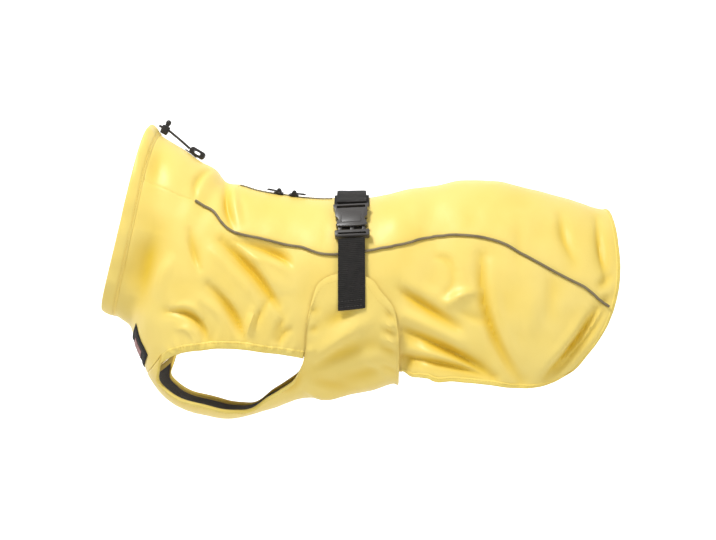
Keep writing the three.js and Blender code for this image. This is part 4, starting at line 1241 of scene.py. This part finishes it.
def seat(x, turn, out):
    """A matrix on the coat, in millimetres: x towards the tail, z outwards."""
    turn = np.array(float(turn))
    at = section_at_x(np.array(float(x)), turn)
    up = outward(at, turn)
    tail = face(at + 0.05, turn) - face(at - 0.05, turn)
    across = unit(np.cross(up, tail))
    ahead = np.cross(across, up)
    matrix = np.eye(4)
    matrix[:3, :3] = np.stack([ahead, across, up], -1)
    base = face(at, turn)
    matrix[:3, 3] = base + up * out
    return matrix


def rounded(width, height, corner, x=0.0, y=0.0, steps=6):
    """The outline of a rectangle with round corners."""
    w, h = width / 2 - corner, height / 2 - corner
    outline = []
    for quarter, (cx, cy) in enumerate([(w, h), (-w, h), (-w, -h), (w, -h)]):
        for k in range(steps + 1):
            angle = (quarter + k / steps) * PI / 2
            outline.append((x + cx + corner * math.cos(angle), y + cy + corner * math.sin(angle)))
    return outline


def prism(outline, low, high, bevel=0.0, segments=3):
    """A solid of an outline in x and y, with its edges rounded."""
    work = bmesh.new()
    ring = [work.verts.new((x, y, low)) for x, y in outline]
    bottom = work.faces.new(ring)
    raised = bmesh.ops.extrude_face_region(work, geom=[bottom])["geom"]
    top = [v for v in raised if isinstance(v, bmesh.types.BMVert)]
    bmesh.ops.translate(work, verts=top, vec=(0, 0, high - low))
    bmesh.ops.recalc_face_normals(work, faces=work.faces)
    if bevel:
        sharp = [e for e in work.edges if e.calc_face_angle(0) > 0.6]
        bmesh.ops.bevel(work, geom=sharp, offset=bevel, segments=segments, affect="EDGES",
                        profile=0.5, clamp_overlap=True)
    return work


def lathe(profile, steps=40):
    """A solid turned about z from rows of radius and height, which end on the axis."""
    work = bmesh.new()
    rings = []
    for radius, height in profile:
        if radius == 0:
            rings.append([work.verts.new((0, 0, height))])
        else:
            rings.append([work.verts.new((radius * math.cos(2 * PI * k / steps),
                                          radius * math.sin(2 * PI * k / steps), height))
                          for k in range(steps)])
    for low, high in zip(rings, rings[1:]):
        for k in range(steps):
            n = (k + 1) % steps
            ring = [low[k % len(low)], low[n % len(low)], high[n % len(high)], high[k % len(high)]]
            work.faces.new(list(dict.fromkeys(ring)))
    bmesh.ops.recalc_face_normals(work, faces=work.faces)
    return work


def turned(work, rotation=(0, 0, 0), move=(0, 0, 0)):
    matrix = Matrix.Translation(move)
    for axis, angle in zip("XYZ", rotation):
        matrix = matrix @ Matrix.Rotation(angle, 4, axis)
    bmesh.ops.transform(work, matrix=matrix, verts=work.verts)
    return work


def temporary(work, name):
    mesh = bpy.data.meshes.new(name)
    work.to_mesh(mesh)
    work.free()
    made = bpy.data.objects.new(name, mesh)
    bpy.context.scene.collection.objects.link(made)
    return made


def fitting(name, base, steps, matrix, look, body="coat", nodes=(), sharp=35):
    """Joins and cuts solids made in a fitting's own frame and puts the result in place."""
    made = temporary(base, name)
    tools = []
    for operation, work in steps:
        tool = temporary(work, f"{name}_tool_{len(tools)}")
        tools.append(tool)
        cut = made.modifiers.new("cut", "BOOLEAN")
        cut.operation, cut.object, cut.solver = operation, tool, "EXACT"
    bpy.context.view_layer.update()
    evaluated = made.evaluated_get(bpy.context.evaluated_depsgraph_get())
    mesh = bpy.data.meshes.new_from_object(evaluated)
    made.modifiers.clear()
    made.data = mesh
    for tool in tools:
        bpy.data.objects.remove(tool)
    points = np.zeros(len(mesh.vertices) * 3)
    mesh.vertices.foreach_get("co", points)
    points = points.reshape(-1, 3) @ matrix[:3, :3].T + matrix[:3, 3]
    mesh.vertices.foreach_set("co", (points * MM).ravel())
    mesh.materials.clear()
    mesh.materials.append(look)
    mesh.shade_smooth()
    mesh.set_sharp_from_angle(angle=sharp * DEGREE)
    return place_piece(made, body, nodes)


def arc(x, y, radius, start, end, steps):
    return [(x + radius * math.cos(a), y + radius * math.sin(a))
            for a in np.linspace(start, end, steps)]


def circle(radius, steps):
    return arc(0, 0, radius, 0, 2 * PI * (1 - 1 / steps), steps)


def buckle():
    matrix = seat(0, BUCKLE_TURN, 0.6)
    thick, half, top, bottom = 7, 15.5, 19, -7.4
    right = [(17, top), (17, top - 3.4), (half + 0.2, top - 5.2), (half - 0.2, 5.4)]
    right += arc(half + 2.6, -0.4, 5.6, PI - 1.05, PI + 1.05, 12)
    right += [(half - 0.8, -5.6), (half - 2.2, bottom), (5, bottom - 0.5)]
    outline = [(-x, y) for x, y in reversed(right)] + right
    body = prism(outline[::-1], 0, thick, 0.9)
    slot_cut = prism(rounded(27.4, 3.0, 0.8, 0, top - 3.4), -1, thick + 1)
    cavity = prism(rounded(26.6, 17, 0.6, 0, 0.6), 1.8, thick - 1.8)
    channel = prism(rounded(28, 22, 0.6, 0, -4.0), 2.2, thick - 2.2)
    panel = prism(rounded(19, 13.6, 2.0, 0, 3.4), thick - 0.35, thick + 0.35, 0.3)
    steps = [("DIFFERENCE", slot_cut), ("DIFFERENCE", cavity), ("DIFFERENCE", channel),
             ("UNION", panel)]
    fitting("buckle_female_moulding", body, steps, matrix, buckle_look,
            nodes=["buckle_female"])
    base = prism(rounded(33, 7, 1.6, 0, -15.7), 0, thick, 0.9)
    base_slot = prism(rounded(26.4, 2.2, 0.6, 0, -16.9), -1, thick + 1)
    steps = [("DIFFERENCE", base_slot)]
    for hand in (1, -1):
        x = hand * 11
        arm = [(x - 1.5 * hand, -13), (x + 1.7 * hand, -13), (x + 1.9 * hand, -7),
               (x + 3.0 * hand, -4.2), (x + 3.3 * hand, -0.6), (x + 2.4 * hand, 2.6),
               (x + 0.6 * hand, 4.6), (x - 1.4 * hand, 3.0), (x - 1.2 * hand, -6)]
        steps.append(("UNION", prism(arm[::hand], 2.15, thick - 2.15, 0.35, 2)))
    steps.append(("UNION", prism(rounded(3.6, 18, 1.2, 0, -4.4), 2.3, thick - 2.3, 0.3, 2)))
    fitting("buckle_male_moulding", base, steps, matrix, buckle_look,
            nodes=["buckle_male"])


# Each slider's x and the way that it faces
SLIDERS = {"front": (-72.5, -1), "rear": (-57.5, 1)}


def zip_slider(name, x, hand):
    matrix = seat(x, ZIP["turn"], 0.7)
    x0, y0 = 4.9, 3.9
    shares = [(-0.9, 0.62), (-0.98, 0), (-0.9, -0.62), (-0.3, -0.72), (0.45, -1), (0.95, -0.8),
              (1, -0.3), (0.84, 0), (1, 0.3), (0.95, 0.8), (0.45, 1), (-0.3, 0.72)]
    outline = [(x0 * px * -hand, y0 * py) for px, py in shares][::hand]
    body = prism(outline[::-1], 0, 1.8, 0.55)
    pin_z = 2.8
    steps = []
    for side in (1, -1):
        outline = [(-3.2, -1.4), (3.2, -1.4)] + arc(0, 0.1, 2.3, 0.15, PI - 0.15, 12)
        lug = turned(prism(outline, -0.55, 0.55, 0.25, 2), (PI / 2, 0, 0), (0, side * 2.3, pin_z))
        steps.append(("UNION", lug))
    pin = turned(prism(circle(0.5, 12), -2.3, 2.3), (PI / 2, 0, 0), (0, 0, pin_z))
    steps.append(("UNION", pin))
    fitting(f"zip_slider_{name}_body", body, steps, matrix, slider_look,
            nodes=[f"zip_slider_{name}"])
    hinge = matrix.copy()
    hinge[:3, 3] += matrix[:3, 2] * pin_z
    ring = turned(prism(circle(0.95, 20), -1.3, 1.3, 0.15, 2), (PI / 2, 0, 0))
    tab = [(hand * px, py) for px, py in [
        (0.7, -1.25), (4.2, -1.3), (5.2, -2.4), (9.8, -2.5), (11.4, -1.7), (12, 0),
        (11.4, 1.7), (9.8, 2.5), (5.2, 2.4), (4.2, 1.3), (0.7, 1.25)]][::-hand]
    plate = prism(tab[::-1], -0.55, 0.55, 0.3, 2)
    window = prism(rounded(3.6, 2.4, 1.1, hand * 8.3, 0), -1, 1)
    bore = turned(prism(circle(0.75, 20), -2, 2), (PI / 2, 0, 0))
    fitting(f"zip_pull_{name}_tab", ring,
            [("UNION", plate), ("DIFFERENCE", window), ("DIFFERENCE", bore)],
            hinge, slider_look, body=f"pull_{name}", nodes=[f"zip_pull_{name}"])


def zip_chain():
    rows = PANEL_ROWS[SLIT[0]:SLIT[1] + 1, 2]
    at = np.linspace(rows[0] + SEAM * STEP_PER_MM, rows[-1] - SEAM * STEP_PER_MM, 120)[:, None]
    half = turn_for(ZIP["width"] / 2, at, ZIP["turn"])
    t = np.linspace(-1, 1, 9)[None]
    turn = ZIP["turn"] + half * t
    at = at + 0 * t
    tape = shell("zip_tape", lift(at, turn, 0.3 - 0.5 * t ** 6), lift(at, turn, -1.2 + 0 * t),
                 [zip_look])
    place_piece(tape, nodes=["zip_chain"])
    middle = lift(at[:, 4], turn[:, 4], 0 * at[:, 4])
    numbers = resample(middle, 1.25)
    centre, up = along(middle, numbers), along(outward(at[:, 4], turn[:, 4]), numbers)
    ahead = unit(np.gradient(centre, axis=0))
    side = np.cross(ahead, up)
    points, faces = [], []
    around, rings = 8, 5
    for n in range(len(centre)):
        hand = 1 if n % 2 else -1
        for k in range(rings):
            share = k / (rings - 1)
            height = 0.6 + 0.45 * math.sin(PI * share) ** 0.6
            core = centre[n] + side[n] * hand * (1.75 * share - 0.3) + up[n] * height
            radius = 0.42 if 0 < k < rings - 1 else 0.22
            points += [core + ahead[n] * x + up[n] * z for x, z in circle(radius, around)]
        base = n * rings * around
        faces += [[base + corner for corner in one][::hand] for one in tube_faces(rings, around)]
    place_piece(new_object("zip_coil", points, faces, [zip_look]))


def zip_stitches():
    rows = PANEL_ROWS[SLIT[0] - 2:SLIT[1] + 3, 2]
    made = []
    for hand, side in ((1, "left"), (-1, "right")):
        at = np.linspace(rows[0], rows[-1], 120)
        turn = ZIP["turn"] + hand * turn_for(ZIP["width"] / 2 + 3.0, at, ZIP["turn"])
        path = lift(at, turn, 0.12 + 0 * at)
        sewn = stitches(f"zip_stitches_{side}", path, outward(at, turn), thread)
        made.append(place_piece(sewn))
    return made


def cord_shadow_bar():
    """A short dark bar on the ridge under the free cord: a painted shadow of the cord, made as a dark
    stitched bar.
    """
    at = np.linspace(2.05, 2.7, 30)
    turn = np.full_like(at, 0.04)
    made = stitches("cord_shadow_bar", lift(at, turn, 0.9 + 0 * at), outward(at, turn), dark_thread,
                    pitch=7.5, length=7, radius=0.8)
    return place_piece(made)


LOCK_PLACE = (-186.4, 0, 71)
LOCK_TILT = 27 * DEGREE
END_PLACE = (-154.5, 0, 46.8)
END_DIP = 31 * DEGREE


def frame_at(place, angle):
    matrix = np.eye(4)
    matrix[:3, :3] = np.array([[math.cos(angle), 0, math.sin(angle)], [0, 1, 0],
                               [-math.sin(angle), 0, math.cos(angle)]])
    matrix[:3, 3] = place
    return matrix


def cord_lock():
    matrix = frame_at(LOCK_PLACE, LOCK_TILT)
    barrel = lathe([(0, -5.6), (2.6, -5.6), (3.5, -5.2), (3.9, -4.2), (3.9, -3.0), (4.2, -2.6),
                    (4.2, -2.0), (4.2, 2.0), (4.2, 2.6), (3.9, 2.9), (3.9, 3.1), (3.6, 3.3),
                    (0, 3.3)])
    well = lathe([(0, 1.2), (2.55, 1.2), (2.55, 5), (0, 5)])
    slot_cut = turned(prism(rounded(2.9, 5.6, 0.9), -9, 9), (0, PI / 2, 0))
    barrel = fitting("cord_lock_barrel_body", barrel,
                     [("DIFFERENCE", well), ("DIFFERENCE", slot_cut)],
                     matrix, toggle_look, nodes=["cord_lock_barrel"])
    dome = [(0, 3.5), (2.1, 3.5), (2.2, 3.8), (2.2, 4.9)]
    dome += arc(0, 6.9, 2.8, -0.65, PI / 2 - 0.12, 10)
    dome += [(0, 9.7)]
    button = fitting("cord_lock_button_cap", lathe(dome), [], matrix, toggle_look,
                     body="lock_button", nodes=["cord_lock_button"])
    return barrel, button


def cord_end():
    matrix = frame_at(END_PLACE, END_DIP)
    outline = rounded(16.8, 7.8, 3.2, steps=8)
    body = turned(prism(outline, -3.6, 3.6, 1.5, 4), (PI / 2, 0, 0))
    slot_cut = turned(prism(rounded(7, 2.4, 1.15), -6, 6), (PI / 2, 0, 0))
    rim = turned(prism(rounded(9.6, 4.6, 2.2), -3.75, 3.75, 0.3, 2), (PI / 2, 0, 0))
    return fitting("cord_end_moulding", body, [("UNION", rim), ("DIFFERENCE", slot_cut)],
                   matrix, toggle_look, nodes=["cord_end"])


def drawstring(name, hand):
    """A cord through the casing, the lock and the cord end, as one smooth curve."""
    route = row_of(CORD_ROUTE, np.linspace(0, len(CORD_ROUTE) - 1, 28))
    points = np.stack([route[:, 0], np.full(28, hand * STRAND_SIDE), route[:, 1]], -1) * MM
    curve = bpy.data.curves.new(name + "_cord", "CURVE")
    curve.dimensions = "3D"
    curve.bevel_depth = CORD_RADIUS * MM
    curve.bevel_resolution = 4
    curve.use_fill_caps = True
    spline = curve.splines.new("POLY")
    spline.points.add(len(points) - 1)
    spline.points.foreach_set("co", np.hstack([points, np.ones((28, 1))]).ravel())
    curve.materials.append(braid)
    made = bpy.data.objects.new(name + "_cord", curve)
    bpy.context.scene.collection.objects.link(made)
    place_piece(made, nodes=[name])
    return made


# Camera and cords first
SENSOR = 36
EYE_DISTANCE = 1.2
PHOTO_WIDTH = 0.716

camera = bpy.data.objects.new("camera", bpy.data.cameras.new("camera"))
camera.data.sensor_width = SENSOR
camera.data.lens = SENSOR * EYE_DISTANCE / PHOTO_WIDTH
camera.location = (0.006, -1.2, -0.07)
camera.rotation_euler = (PI / 2, 0, 0)
bpy.context.scene.collection.objects.link(camera)
bpy.context.scene.camera = camera

barrel, button = cord_lock()
end_piece = cord_end()
drawstring("drawstring_left", -1)
drawstring("drawstring_right", 1)

# Cloth and what is sewn to it
side_left = side_panel("side_panel_left", 1)
side_right = side_panel("side_panel_right", -1)
back = back_panel()
belly = chest_panel()
strip_lining = chest_lining()
leg_left = leg_binding("leg_binding_left", 1)
leg_right = leg_binding("leg_binding_right", -1)
edge_left = chest_binding("chest_edge_binding_left", 1)
edge_right = chest_binding("chest_edge_binding_right", -1)
hem_binding()
casing = collar_casing()
flap_sewing = flap_stitches()
chest_patch()
piping("piping_left", 1)
piping("piping_right", -1)
zip_chain()
zip_sewing = zip_stitches()
for slider_name, (slider_x, slider_hand) in SLIDERS.items():
    zip_slider(slider_name, slider_x, slider_hand)
for strap_name in STRAPS:
    strap(strap_name)
# A dark bar as the painted shadow of the cord.
cord_shadow_bar()
strap_stitches("strap_left", [(0.04, 0.1, 0.04, 0.9), (0.1, 0.1, 0.1, 0.9)])
strap_stitches("strap_over_back", [(0.965, 0.1, 0.965, 0.9), (0.99, 0.1, 0.99, 0.9),
                                   (0.3, 0.1, 0.3, 0.9)])
buckle()

# Floor, backdrop and light
FLOOR = -0.42
# Name, grey and glow of the table, the floor behind it and the wall
STAGE_PAINTS = (("table", 0.74, 0), ("pale_floor", 0.95, 0.3), ("pale_wall", 0.95, 0.75))


def backdrop():
    profile = [(y, FLOOR) for y in (-3.0, 0.3, 1.2)]
    profile += [(1.2 + 0.9 * math.sin(a), FLOOR + 0.9 * (1 - math.cos(a)))
                for a in np.linspace(0.1, PI / 2, 14)]
    profile += [(2.1, 3.2)]
    points = [(x, y, z) for y, z in profile for x in (-5.0, 5.0)]
    faces = [(2 * i, 2 * i + 1, 2 * i + 3, 2 * i + 2) for i in range(len(profile) - 1)]
    mesh = bpy.data.meshes.new("floor")
    mesh.from_pydata(points, [], faces)
    mesh.shade_smooth()
    for name, grey, glow in STAGE_PAINTS:
        paint = Look(name, (grey, grey, grey), 0.9, emission_color=(1, 1, 1, 1),
                     emission_strength=glow)
        mesh.materials.append(paint.material)
    for n, panel in enumerate(mesh.polygons):
        panel.material_index = min(n, 2)
    made = bpy.data.objects.new("floor", mesh)
    bpy.context.scene.collection.objects.link(made)


def softbox(name, place, target, size, power):
    light = bpy.data.lights.new(name, "AREA")
    light.shape, light.size, light.energy = "DISK", size, power
    made = bpy.data.objects.new(name, light)
    made.location = place
    made.rotation_euler = (Vector(target) - Vector(place)).to_track_quat("-Z", "Y").to_euler()
    bpy.context.scene.collection.objects.link(made)


backdrop()
# Name, place, target, diameter and power
softbox("key", (-0.75, -0.95, 1.6), (0, 0, -0.05), 0.6, 34.5)
softbox("top", (0.45, 0.2, 1.8), (0, 0, -0.05), 1.0, 2)
softbox("fill", (1.2, -1.5, 0.3), (0, 0, -0.1), 1.2, 6)

world = bpy.data.worlds.new("studio")
world.use_nodes = True
sky = world.node_tree.nodes["Background"]
socket(sky, "Color", (1, 1, 1, 1))
socket(sky, "Strength", 0.36)
bpy.context.scene.world = world
bpy.context.scene.view_settings.view_transform = "Standard"
